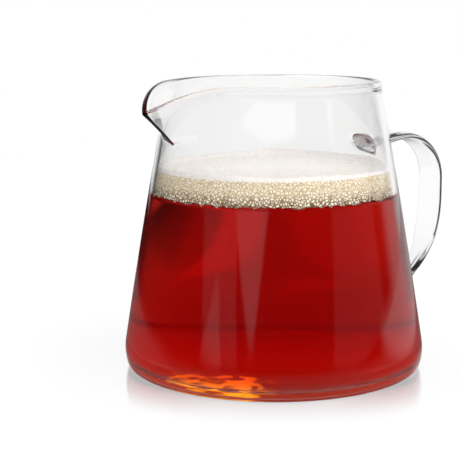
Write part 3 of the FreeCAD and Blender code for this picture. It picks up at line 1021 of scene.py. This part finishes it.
    def build(self) -> bpy.types.Object:
        """Join wall and handle into one skin, attach it to the root body and hide the jug's solid.

        Returns:
            The server.
        """
        material = self.finish.material()
        shell = self.shell(material)
        ribbon = self.ribbon(material)
        fuse = shell.modifiers.new("fuse", "BOOLEAN")
        fuse.operation = "UNION"
        fuse.solver = "MANIFOLD"
        fuse.object = ribbon
        graph = bpy.context.evaluated_depsgraph_get()
        joined = bpy.data.meshes.new_from_object(shell.evaluated_get(graph))
        shell.modifiers.clear()
        shell.data = joined
        joined.name = "server_glass"
        joined.shade_smooth()
        bpy.data.objects.remove(ribbon)
        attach(shell, "root")
        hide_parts(Node.JUG.value)
        return shell


@dataclass
class Drink:
    """The drink, which fills the bore up to the foam."""

    form: JugForm
    finish: DrinkFinish
    level: float = 76.7
    overlap: float = 0.12
    columns: int = 200
    rows: int = 40
    top_shares: tuple[float, ...] = (0.997, 0.98, 0.92, 0.8, 0.6, 0.35)

    def build(self) -> bpy.types.Object:
        """Build the drink a hair's breadth into the glass, so that no air shows between them.

        Returns:
            The drink.
        """
        form = self.form
        azimuth = np.linspace(-math.pi, math.pi, self.columns, endpoint=False)
        rings = [Jug.ring(azimuth, reach, height) for reach, height in form.bore_foot(self.overlap)]
        for height in np.linspace(form.foot_height, self.level, self.rows)[1:]:
            radius = form.wall_radius(height) - form.wall_thickness + self.overlap
            uneven = form.settled(height) * form.unevenness(azimuth, height)
            rings.append(Jug.ring(azimuth, radius + uneven, height))
        outline = rings[-1]
        rings += [outline * np.array((share, share, 1.0)) for share in self.top_shares]
        points, faces = closed_turning(
            rings, (0.0, 0.0, form.floor_thickness - self.overlap), (0.0, 0.0, self.level))
        drink = surface_object("drink", points, faces, self.finish.material())
        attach(drink, "root")
        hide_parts(Node.DRINK.value)
        return drink


@dataclass
class Foam:
    """The layer of bubbles on the drink, which climbs a little where it meets the glass."""

    form: JugForm
    finish: FoamFinish
    bottom: float = 76.5
    top: float = 87.0
    climb: float = 1.7
    climb_reach: float = 7.0
    columns: int = 760
    side_rows: int = 27
    relief: float = 0.32
    bubble: float = 1.1
    seed: int = 11
    ragged: float = 0.85
    ragged_knots: int = 230
    ragged_power: int = 3
    tuft_share: float = 0.5
    # Each sway has its size, its turns round the axis and its start.
    sways: tuple[tuple[float, float, float], ...] = ((0.45, 2.0, 0.7), (0.3, 5.0, 0.0), (0.15, 11.0, 0.0))
    glass_gap: float = 0.05
    under_rise: float = 0.15
    under_shares: tuple[float, ...] = (0.3, 0.6, 0.85, 0.96)
    edge_drop: float = 0.6
    edge_reach: float = 0.3
    # Rings of the top, by distance from the glass: from, to and spacing, then from,
    # distance that is left round the middle and spacing.
    top_rings: tuple[float, float, float] = (0.35, 9.0, 0.55)
    inner_rings: tuple[float, float, float] = (9.4, 0.5, 1.3)
    bubble_share: float = 0.26
    bubble_scatter: float = 0.25
    bubble_reach: float = 0.62
    calm_reach: float = 14.0

    def surface_rings(self) -> list[np.ndarray]:
        """Work out the plain layer from the middle of its underside to the middle of its top.

        Returns:
            The rings of vertices.
        """
        form = self.form
        azimuth = np.linspace(-math.pi, math.pi, self.columns, endpoint=False)
        sway = sum(size * np.sin(turns * azimuth + start) for size, turns, start in self.sways)
        source = np.random.default_rng(self.seed + 1)
        knots = np.linspace(-math.pi, math.pi, self.ragged_knots + 1)
        drops = source.uniform(-1.0, 1.0, (2, self.ragged_knots + 1))
        drops[:, -1] = drops[:, 0]
        ragged, tufted = (self.ragged * np.interp(azimuth, knots, drop) for drop in drops)
        rings = []
        gap = form.wall_thickness + self.glass_gap
        edge = form.wall_radius(self.bottom) - gap
        for share in self.under_shares:
            rings.append(Jug.ring(azimuth, edge * share, self.bottom + self.under_rise))
        climb = self.climb + sway + self.tuft_share * tufted
        crest = self.top + climb
        for share in np.linspace(0.0, 1.0, self.side_rows):
            height = self.bottom + (crest - self.edge_drop - self.bottom) * share
            height = height + ragged * (1.0 - share) ** self.ragged_power
            radius = form.wall_radius(height) - gap + form.unevenness(azimuth, height)
            rings.append(Jug.ring(azimuth, radius, height))
        rim = form.wall_radius(self.top + self.climb) - gap
        start, margin, spacing = self.inner_rings
        inward = np.concatenate((np.arange(*self.top_rings), np.arange(start, rim - margin, spacing)))
        for distance in inward:
            hollow = min(1.0, distance / self.climb_reach)
            drop = climb * hollow * hollow * (3.0 - 2.0 * hollow)
            height = crest - drop - self.edge_drop * math.exp(-distance / self.edge_reach)
            rings.append(Jug.ring(azimuth, rim - distance, height))
        return rings

    def bubbles(self, points: np.ndarray) -> np.ndarray:
        """Work out the shape of the bubbles.

        Args:
            points: Vertices of the plain layer.

        Returns:
            How far each vertex lies below the top of its bubble.
        """
        source = np.random.default_rng(self.seed)
        chosen = points[source.permutation(len(points))[: int(len(points) * self.bubble_share)]]
        centres = chosen + source.normal(0.0, self.bubble_scatter, chosen.shape)
        tree = kdtree.KDTree(len(centres))
        for index, centre in enumerate(centres):
            tree.insert(centre, index)
        tree.balance()
        gaps = np.array([tree.find(point)[2] for point in points])
        share = np.clip(gaps / (self.bubble * self.bubble_reach), 0.0, 1.0)
        away = np.clip(np.hypot(points[:, 0], points[:, 1]) / self.calm_reach, 0.0, 1.0)
        return self.relief * share ** 2 * away

    def build(self) -> bpy.types.Object:
        """Build the layer and shape its bubbles.

        Returns:
            The foam.
        """
        underside = (0.0, 0.0, self.bottom + self.under_rise)
        points, faces = closed_turning(self.surface_rings(), underside, (0.0, 0.0, self.top))
        foam = surface_object("foam_layer", points, faces, self.finish.material())
        mesh = foam.data
        normals = np.array([vertex.normal for vertex in mesh.vertices])
        sunk = points - normals * self.bubbles(points)[:, np.newaxis]
        mesh.vertices.foreach_set("co", (sunk * MM).ravel())
        mesh.update()
        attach(foam, "root")
        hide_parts(Node.FOAM.value)
        return foam


@dataclass(frozen=True)
class Panel:
    """A lit or dark panel of the studio, in degrees.

    Its sides may slant: each moves by its slant for every degree above the pivot.
    """

    bearings: tuple[float, float]
    lifts: tuple[float, float]
    edges: tuple[float, float]
    strength: float
    slants: tuple[float, float] = (0.0, 0.0)
    pivot: float = 6.0

    def brightness(self, graph: Graph, bearing: Socket, lift: Socket) -> Socket:
        """Work out the brightness of the panel in a direction.

        Args:
            graph: The world's graph.
            bearing: Direction about the object in degrees, 0 toward the camera.
            lift: Direction above level in degrees.

        Returns:
            The socket that holds the brightness.
        """
        (left, right), (low, high), (soft, fade) = self.bearings, self.lifts, self.edges
        above = graph.math("SUBTRACT", lift, self.pivot)
        from_left, from_right = (
            graph.math("SUBTRACT", bearing, graph.times(above, slant)) for slant in self.slants)
        return graph.times(
            graph.smooth(from_left, Ease(left - soft, left + soft)),
            graph.smooth(from_right, Ease(right - soft, right + soft, 1.0, 0.0)),
            graph.smooth(lift, Ease(low - fade, low + fade)),
            graph.smooth(lift, Ease(high - fade, high + fade, 1.0, 0.0)),
            self.strength,
        )


@dataclass(frozen=True)
class Shade:
    """A step in the brightness of the table behind the jug, by the way there in degrees."""

    ways: tuple[float, float]
    levels: tuple[float, float]
    only_far: bool = False


class RayPath:
    """What a ray has met before it comes to the surface or the world that asks, as sockets."""

    def __init__(self, graph: Graph, miscount: float = 0.0) -> None:
        """Count the bounces of the ray.

        Args:
            graph: The graph that asks.
            miscount: How many bounces too many a ray's depth reads there.
        """
        outputs = graph.add("ShaderNodeLightPath").outputs
        self.straight = outputs["Is Camera Ray"]
        self.reflected = outputs["Is Glossy Ray"]
        self.refracted = outputs["Is Transmission Ray"]
        self.depth = outputs["Ray Depth"]
        mirrors = graph.math("SUBTRACT", self.depth, outputs["Transmission Depth"])
        self.mirrors = graph.math("SUBTRACT", mirrors, miscount)
        self.sharp = graph.math("LESS_THAN", outputs["Diffuse Depth"], ONCE)


class TableSpot:
    """Where a ray meets the table, as sockets in metres."""

    def __init__(self, graph: Graph) -> None:
        """Split the place into its distance from the axis and its parts along the view.

        Args:
            graph: The material's graph.
        """
        self.place = object_point(graph)
        length = graph.add("ShaderNodeVectorMath", {"operation": "LENGTH"})
        graph.put(length.inputs[0], self.place)
        self.reach = length.outputs["Value"]
        self.depth, self.across = along_view(graph, self.place)
        self.height = graph.add("ShaderNodeSeparateXYZ", Vector=self.place).outputs["Z"]


class Outlook:
    """Direction in which a ray leaves for the surroundings, as sockets."""

    def __init__(self, graph: Graph) -> None:
        """Split the direction into its parts along the view and its angles in degrees.

        Args:
            graph: The world's graph.
        """
        direction = graph.add("ShaderNodeTexCoord").outputs["Generated"]
        self.height = graph.add("ShaderNodeSeparateXYZ", Vector=direction).outputs["Z"]
        self.ahead, self.aside = along_view(graph, direction)
        self.toward = graph.times(self.ahead, -1.0)
        self.bearing = graph.math("DEGREES", graph.math("ARCTAN2", self.aside, self.toward))
        self.lift = graph.math("DEGREES", graph.math("ARCSINE", self.height))


@dataclass(frozen=True)
class TableFinish:
    """White table whose glow depends on the way a ray takes to it.

    Distances are in metres. Reach is measured from the axis, depth away from the camera's
    side and across to the camera's right.
    """

    glow: float = 0.70
    colour: Colour = (0.31, 0.31, 0.315)
    unlit: float = 0.012

    # Painted red light on the table under the drink, for light that comes through it: where it starts, how
    # bright it is, and a painted contact shadow at the edge of the foot.
    foot_reach: Ease = Ease(0.0606, 0.0610, 1.0, 0.0)
    foot_collar: Ease = Ease(0.00003, 0.00006)
    under_depth: Ease = Ease(-0.058, 0.005, 0.35, 1.0)
    # Painted contact shadow at the edge of the foot, left off at the back of the jug.
    painted_foot_shadow: Ease = Ease(0.0565, 0.0600, 1.0, 0.04)
    under_back: Ease = Ease(-0.03, 0.0)
    painted_drink_light: Colour = (1.0, 0.05, 0.01)

    # The light that the drink gathers on the table, in spots at the front left.
    gathered_scale: float = 95.0
    gathered_detail: float = 2.0
    gathered_twist: float = 1.2
    gathered_grain: Ease = Ease(0.47, 0.66)
    gathered_left: Ease = Ease(-0.046, -0.034)
    gathered_right: Ease = Ease(-0.012, 0.004, 1.0, 0.0)
    gathered_depth: Ease = Ease(-0.032, -0.022, 2.6, 0.0)
    gathered_colour: Colour = (1.0, 0.30, 0.005)

    # Painted light and shade on the table behind the jug, seen through the drink: brighter further back,
    # darker to the camera's right, and in steps by the way there. The ways there cross near the jug.
    behind_depth: Ease = Ease(0.10, 0.15, 1.12, 1.4)
    behind_across: Ease = Ease(0.010, 0.080, 1.0, 0.18)
    behind_crossing: float = 0.05
    behind_spread: float = 0.0008
    shades_from: Ease = Ease(0.10, 0.15)
    far_shades_from: Ease = Ease(0.11, 0.24)
    shades: tuple[Shade, ...] = (
        Shade((-58.0, -38.0), (0.40, 1.0), True),
        Shade((-15.3, -14.3), (1.05, 0.96)),
        Shade((-3.0, -1.6), (1.0, 0.80)),
        Shade((1.0, 1.8), (1.0, 1.50)),
        Shade((7.6, 8.6), (1.0, 0.60)),
        Shade((15.0, 19.2), (1.0, 0.75)),
    )

    # The part of the table to which these shades apply, and the dim part in front of the jug.
    through_from: Ease = Ease(0.03, 0.07)
    through_to: Ease = Ease(0.25, 0.30, 1.0, 0.0)
    through_across: Ease = Ease(0.072, 0.092, 1.0, 0.0)
    front_depth: Ease = Ease(-0.01, 0.01, 1.0, 0.0)
    front_reach: Ease = Ease(0.062, 0.090, 0.05, 1.0)

    # What the glass mirrors of the table, and how often a ray may bounce before it sees white.
    mirrored_reach: Ease = Ease(0.27, 0.36, 0.2, 0.012)
    mirrored_depth: Ease = Ease(-0.20, 0.02, 0.22, 1.0)
    side_across: Ease = Ease(0.10, 0.15)
    side_depth: Ease = Ease(-0.06, 0.04)
    side_level: float = 0.8
    most_bounces: float = 5.5

    # The table's own mirror, which is fainter before the middle of the jug.
    gloss_blur: float = 0.10
    gloss_reach: Ease = Ease(0.058, 0.094, 0.42, 0.0)
    gloss_across: Ease = Ease(0.015, 0.058, 0.48, 1.3)

    def material(self) -> bpy.types.Material:
        """Make the table: matt and softly glowing, with a blurred mirror close to the jug.

        Returns:
            The material.
        """
        material, graph, shader = new_material("white_table")
        shader.inputs["Roughness"].default_value = 1.0
        shader.inputs["Specular IOR Level"].default_value = 0.0
        ray = RayPath(graph)
        spot = TableSpot(graph)
        mirrored = graph.times(graph.math("GREATER_THAN", ray.mirrors, ONCE), ray.sharp)
        seen = graph.most(ray.straight, ray.reflected, ray.refracted)
        under = graph.most(graph.smooth(spot.reach, self.foot_reach),
                           graph.smooth(spot.height, self.foot_collar))
        gathered = self.gathered(graph, spot)
        unmirrored = graph.times(ray.refracted, graph.left_of(mirrored))
        front = graph.times(unmirrored, graph.smooth(spot.depth, self.front_depth))
        through = graph.times(
            unmirrored,
            graph.smooth(spot.depth, self.through_from),
            graph.smooth(spot.depth, self.through_to),
            graph.smooth(spot.across, self.through_across),
        )
        beside = graph.choose(through, 1.0, self.behind(graph, spot))
        beside = graph.choose(front, beside, graph.smooth(spot.reach, self.front_reach))
        level = graph.choose(under, beside, self.painted_light_under_drink(graph, spot, gathered))
        beyond = graph.times(mirrored, graph.left_of(under))
        level = graph.choose(beyond, level, self.mirrored(graph, spot, ray))
        dark = tuple(part * self.unlit for part in self.colour)
        graph.put(shader.inputs["Base Color"],
                  graph.mix(graph.most(beyond, through), self.colour, dark))
        # Colour of the painted light that comes through the drink: red under it, orange in the gathered
        # spots.
        painted_light_colour = graph.mix(graph.math("MINIMUM", gathered, 1.0), self.painted_drink_light, self.gathered_colour)
        graph.put(shader.inputs["Emission Color"], graph.mix(under, WHITE, painted_light_colour))
        graph.put(shader.inputs["Emission Strength"], graph.times(seen, level, self.glow))
        self.add_mirror(graph, spot, shader)
        return material

    def gathered(self, graph: Graph, spot: TableSpot) -> Socket:
        """Work out the light that the drink gathers under its front left.

        Args:
            graph: The material's graph.
            spot: Where the ray meets the table.

        Returns:
            The socket that holds its level.
        """
        grain = graph.add("ShaderNodeTexNoise", Vector=spot.place, Scale=self.gathered_scale,
                          Detail=self.gathered_detail, Distortion=self.gathered_twist)
        return graph.times(
            graph.smooth(grain.outputs["Fac"], self.gathered_grain),
            graph.smooth(spot.across, self.gathered_left),
            graph.smooth(spot.across, self.gathered_right),
            graph.smooth(spot.depth, self.gathered_depth),
        )

    def painted_light_under_drink(self, graph: Graph, spot: TableSpot, gathered: Socket) -> Socket:
        """Work out the painted red glow of the table under the drink, with a painted contact shadow at the
        foot.

        Args:
            graph: The material's graph.
            spot: Where the ray meets the table.
            gathered: Level of the light gathered there.

        Returns:
            The socket that holds the level.
        """
        level = graph.math("ADD", graph.smooth(spot.depth, self.under_depth), gathered)
        # The painted contact shadow at the foot's edge, left off at the back.
        edge = graph.most(graph.smooth(spot.reach, self.painted_foot_shadow),
                          graph.smooth(spot.depth, self.under_back))
        return graph.times(level, edge)

    def behind(self, graph: Graph, spot: TableSpot) -> Socket:
        """Work out the glow of the table behind the jug, seen through the drink.

        Args:
            graph: The material's graph.
            spot: Where the ray meets the table.

        Returns:
            The socket that holds the level.
        """
        past = graph.math("SUBTRACT", spot.depth, self.behind_crossing)
        level = graph.times(graph.smooth(spot.depth, self.behind_depth),
                            graph.smooth(spot.across, self.behind_across))
        all_from = graph.smooth(spot.depth, self.shades_from)
        far_from = graph.smooth(spot.depth, self.far_shades_from)
        for shade in self.shades:
            leaving = graph.math("ADD", spot.across, self.behind_spread * sum(shade.ways) / 2.0)
            way = graph.math("DEGREES", graph.math("ARCTAN2", leaving, past))
            step = graph.smooth(way, Ease(*shade.ways, *shade.levels))
            step = graph.choose(far_from if shade.only_far else all_from, 1.0, step)
            level = graph.times(level, step)
        return level

    def mirrored(self, graph: Graph, spot: TableSpot, ray: RayPath) -> Socket:
        """Work out what the glass mirrors of the table.

        Args:
            graph: The material's graph.
            spot: Where the ray meets the table.
            ray: What the ray has met before.

        Returns:
            The socket that holds the level.
        """
        level = graph.times(graph.smooth(spot.reach, self.mirrored_reach),
                            graph.smooth(spot.depth, self.mirrored_depth))
        side = graph.times(graph.smooth(spot.across, self.side_across),
                           graph.smooth(spot.depth, self.side_depth), self.side_level)
        return graph.most(level, side, graph.math("GREATER_THAN", ray.depth, self.most_bounces))

    def add_mirror(self, graph: Graph, spot: TableSpot, shader: bpy.types.Node) -> None:
        """Lay a blurred mirror over the matt table, which fades away from the jug.

        Args:
            graph: The material's graph.
            spot: Where the ray meets the table.
            shader: The matt table.
        """
        mirror = graph.add("ShaderNodeBsdfGlossy", Color=(*WHITE, 1.0), Roughness=self.gloss_blur)
        sideways = graph.smooth(graph.math("ABSOLUTE", spot.across), self.gloss_across)
        share = graph.times(graph.smooth(spot.reach, self.gloss_reach), sideways)
        both = graph.add("ShaderNodeMixShader")
        for target, source in zip(both.inputs, (share, shader.outputs[0], mirror.outputs[0])):
            graph.put(target, source)
        graph.put(graph.tree.nodes["Material Output"].inputs["Surface"], both.outputs[0])


@dataclass
class Table:
    """The white table, which closes on the jug's foot so that no film of air shows."""

    form: JugForm
    finish: TableFinish
    edges: tuple[float, float] = (800.0, 200.0)
    top: float = 0.02
    beyond_contact: float = 0.3
    foot_gap: float = 0.04
    collar_shares: tuple[float, ...] = (0.25, 0.5, 0.75, 1.0)
    front_climb: float = 26.0
    back_climb: float = 36.0
    climb_start: float = 0.6
    punt_height: float = 0.83
    punt_rings: tuple[float, float] = (50.0, 20.0)
    columns: int = 128

    def rings(self, azimuth: np.ndarray) -> list[np.ndarray]:
        """Rings from the far edge to the hollow under the jug.

        They follow the rounding of the foot just inside the glass, higher at the back.

        Args:
            azimuth: Angles of the columns.

        Returns:
            The rings from the outside in.
        """
        form = self.form
        away = math.sin(VIEW_AZIMUTH) * np.cos(azimuth) - math.cos(VIEW_AZIMUTH) * np.sin(azimuth)
        contact = form.foot_radius - form.foot_inset
        corner = form.corner_radius - self.foot_gap
        reaches = (*self.edges, contact + self.beyond_contact)
        rings = [Jug.ring(azimuth, reach, self.top) for reach in reaches]
        climb = self.front_climb + self.back_climb * np.clip(away + self.climb_start, 0.0, 1.0)
        for share in self.collar_shares:
            bend = np.radians(climb) * share
            rings.append(Jug.ring(azimuth, contact + corner * np.sin(bend),
                                  form.corner_radius - corner * np.cos(bend)))
        return rings + [Jug.ring(azimuth, reach, self.punt_height) for reach in self.punt_rings]

    def build(self) -> bpy.types.Object:
        """Lay the table, with flat faces so that its mirror stays even.

        Returns:
            The table.
        """
        azimuth = np.linspace(-math.pi, math.pi, self.columns, endpoint=False)
        rings = self.rings(azimuth)
        points = np.vstack([*rings, [(0.0, 0.0, self.punt_height)]])
        faces = ring_faces(len(rings), self.columns)
        middle = len(points) - 1
        inner = middle - self.columns
        for index in range(self.columns):
            faces.append((inner + index, inner + (index + 1) % self.columns, middle))
        table = surface_object("table", points, faces, self.finish.material())
        table.data.shade_flat()
        return table


@dataclass(frozen=True)
class Surroundings:
    """The light around the object: a white backdrop, a dim room and tall soft panels.

    Rays that only pass through glass see the backdrop, mirrored rays see the room with its
    panels, and matt surfaces are lit by plain soft light from all sides.
    """

    # The room: its dim level, and the bright wall behind the object, a little to the right.
    room_aside: float = 0.17
    room_wall: Ease = Ease(0.74, 0.92, 0.012, 1.0)
    inner_level: float = 0.25
    most_bounces: float = 6.5
    white_ahead: Ease = Ease(0.0, 0.2)
    panels: tuple[Panel, ...] = (
        Panel((-62.0, -30.0), (1.0, 30.0), (0.8, 2.5), 0.12, (-1.3, -0.6)),
        Panel((-25.0, -11.5), (3.4, 26.0), (1.2, 1.2), 0.30, (-2.2, 1.4)),
        Panel((-48.0, -45.0), (0.4, 5.6), (1.2, 0.8), 0.30, (1.6, -1.0)),
        Panel((51.0, 99.0), (-6.0, 30.0), (1.0, 3.0), 0.09, (0.9, 0.0)),
        Panel((114.0, 190.0), (-30.0, 45.0), (8.0, 8.0), 0.42),
        Panel((-190.0, -152.0), (-30.0, 45.0), (4.0, 8.0), 0.42),
        Panel((112.5, 115.0), (-6.0, 14.0), (1.0, 3.0), 0.55, (-1.9, -1.9)),
        Panel((121.0, 123.0), (-6.0, 14.0), (1.0, 3.0), 0.35, (-1.9, -1.9)),
        Panel((58.5, 62.0), (12.0, 24.0), (1.0, 1.5), 1.2),
        Panel((-33.0, 22.0), (14.9, 17.3), (2.0, 0.3), 1.1),
        Panel((-180.0, 180.0), (62.0, 100.0), (5.0, 6.0), 0.3),
    )

    # The backdrop: it is darker high up and at both sides.
    backdrop_lift: Ease = Ease(26.0, 44.0, 1.0, 0.15)
    flags: tuple[Panel, ...] = (
        Panel((66.0, 150.0), (-30.0, 30.0), (16.0, 4.0), 0.35),
        Panel((-122.0, -72.0), (-30.0, 30.0), (5.0, 4.0), 0.2),
    )

    # The plain light: more from above, and more from the front right.
    plain_level: float = 0.70
    plain_climb: float = 0.3
    front_toward: float = 0.7
    front_aside: float = 0.65
    front_light: Ease = Ease(0.1, 0.85, 0.0, 1.0)
    glass_boost: float = 2.3

    # A world counts one bounce more than a surface does.
    miscount: float = 1.0
    map_resolution: int = 256

    def room(self, graph: Graph, outlook: Outlook, ray: RayPath) -> Socket:
        """Work out what a mirrored ray sees.

        Args:
            graph: The world's graph.
            outlook: Direction of the ray.
            ray: What the ray has met before.

        Returns:
            The socket that holds the brightness.
        """
        wall = graph.math("ADD", outlook.ahead, graph.times(outlook.aside, self.room_aside))
        lit = [panel.brightness(graph, outlook.bearing, outlook.lift) for panel in self.panels]
        room = graph.most(graph.smooth(wall, self.room_wall), *lit)
        often = graph.math("GREATER_THAN", ray.mirrors, TWICE)
        room = graph.choose(often, room, graph.most(room, self.inner_level))
        spent = graph.times(graph.math("GREATER_THAN", ray.depth, self.most_bounces),
                            graph.smooth(outlook.ahead, self.white_ahead))
        return graph.choose(spent, room, 1.0)

    def backdrop(self, graph: Graph, outlook: Outlook) -> Socket:
        """Work out what a ray sees that only passed through glass.

        Args:
            graph: The world's graph.
            outlook: Direction of the ray.

        Returns:
            The socket that holds the brightness.
        """
        dark = [flag.brightness(graph, outlook.bearing, outlook.lift) for flag in self.flags]
        return graph.times(graph.smooth(outlook.lift, self.backdrop_lift),
                           *(graph.left_of(flag) for flag in dark))

    def plain(self, graph: Graph, outlook: Outlook, ray: RayPath) -> Socket:
        """Work out the light on matt surfaces, with more of it on those inside the glass.

        Args:
            graph: The world's graph.
            outlook: Direction of the ray.
            ray: What the ray has met before.

        Returns:
            The socket that holds the brightness.
        """
        front = graph.math("ADD", graph.times(outlook.toward, self.front_toward),
                           graph.times(outlook.aside, self.front_aside))
        light = graph.math("ADD", graph.times(outlook.height, self.plain_climb), self.plain_level)
        light = graph.math("ADD", light, graph.smooth(front, self.front_light))
        return graph.times(light, graph.choose(ray.refracted, 1.0, self.glass_boost))

    def build(self) -> bpy.types.World:
        """Make the world from its three kinds of light, and leave the camera plain white.

        Returns:
            The world.
        """
        world = bpy.data.worlds.new("studio")
        bpy.context.scene.world = world
        world.use_nodes = True
        graph = Graph(world.node_tree)
        outlook = Outlook(graph)
        ray = RayPath(graph, self.miscount)
        through = graph.times(ray.refracted, graph.math("LESS_THAN", ray.mirrors, ONCE))
        sharp = graph.times(graph.most(ray.reflected, ray.refracted), ray.sharp)
        strength = graph.choose(sharp, self.plain(graph, outlook, ray), self.room(graph, outlook, ray))
        strength = graph.choose(through, strength, self.backdrop(graph, outlook))
        strength = graph.choose(ray.straight, strength, 1.0)
        light = graph.add("ShaderNodeBackground", Color=(*WHITE, 1.0), Strength=strength)
        output = graph.add("ShaderNodeOutputWorld")
        graph.put(output.inputs["Surface"], light.outputs[0])
        world.cycles.sampling_method = "MANUAL"
        world.cycles.sample_map_resolution = self.map_resolution
        return world


@dataclass(frozen=True)
class View:
    """The camera, and how far light is followed through the glass. Angles in degrees."""

    distance: float = 577.3
    height: float = 158.7
    pitch: float = 9.75
    yaw: float = 1.92
    roll: float = -0.23
    lens: float = 105.7
    sensor: float = 36.0
    nearest: float = 0.05
    bounces: int = 28
    glossy_bounces: int = 10

    def camera(self) -> bpy.types.Object:
        """Set up the camera where the photographer stood, looking a little down.

        Returns:
            The camera.
        """
        data = bpy.data.cameras.new("view")
        data.lens = self.lens
        data.sensor_width = self.sensor
        data.clip_start = self.nearest
        view = bpy.data.objects.new("view", data)
        bpy.context.scene.collection.objects.link(view)
        place = Vector((math.sin(VIEW_AZIMUTH), -math.cos(VIEW_AZIMUTH), 0.0)) * self.distance * MM
        place.z = self.height * MM
        turn = (Matrix.Rotation(VIEW_AZIMUTH + math.radians(self.yaw), 4, "Z")
                @ Matrix.Rotation(math.radians(90.0 - self.pitch), 4, "X")
                @ Matrix.Rotation(math.radians(self.roll), 4, "Z"))
        view.matrix_world = Matrix.Translation(place) @ turn
        bpy.context.scene.camera = view
        return view

    def light_paths(self) -> None:
        """Let light pass through all the walls of the glass and of the drink."""
        cycles = bpy.context.scene.cycles
        cycles.max_bounces = self.bounces
        cycles.transmission_bounces = self.bounces
        cycles.glossy_bounces = self.glossy_bounces
        cycles.use_denoising = True
        bpy.context.scene.view_settings.view_transform = "Standard"


def report(piece: bpy.types.Object) -> None:
    """Log the name of a piece and its number of triangles."""
    triangles = sum(len(face.vertices) - 2 for face in piece.data.polygons)
    LOG.info("%s: %d triangles", piece.name, triangles)


def main() -> None:
    """Build the server, what it holds, the table, the light and the camera."""
    logging.basicConfig(level=logging.INFO, format="%(name)s: %(message)s")
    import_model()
    view = View()
    view.camera()
    form = JugForm()
    report(Jug(form, StrapForm(), GlassFinish()).build())
    report(Drink(form, DrinkFinish()).build())
    report(Foam(form, FoamFinish()).build())
    report(Table(form, TableFinish()).build())
    Surroundings().build()
    view.light_paths()


if __name__ == "__main__":
    main()
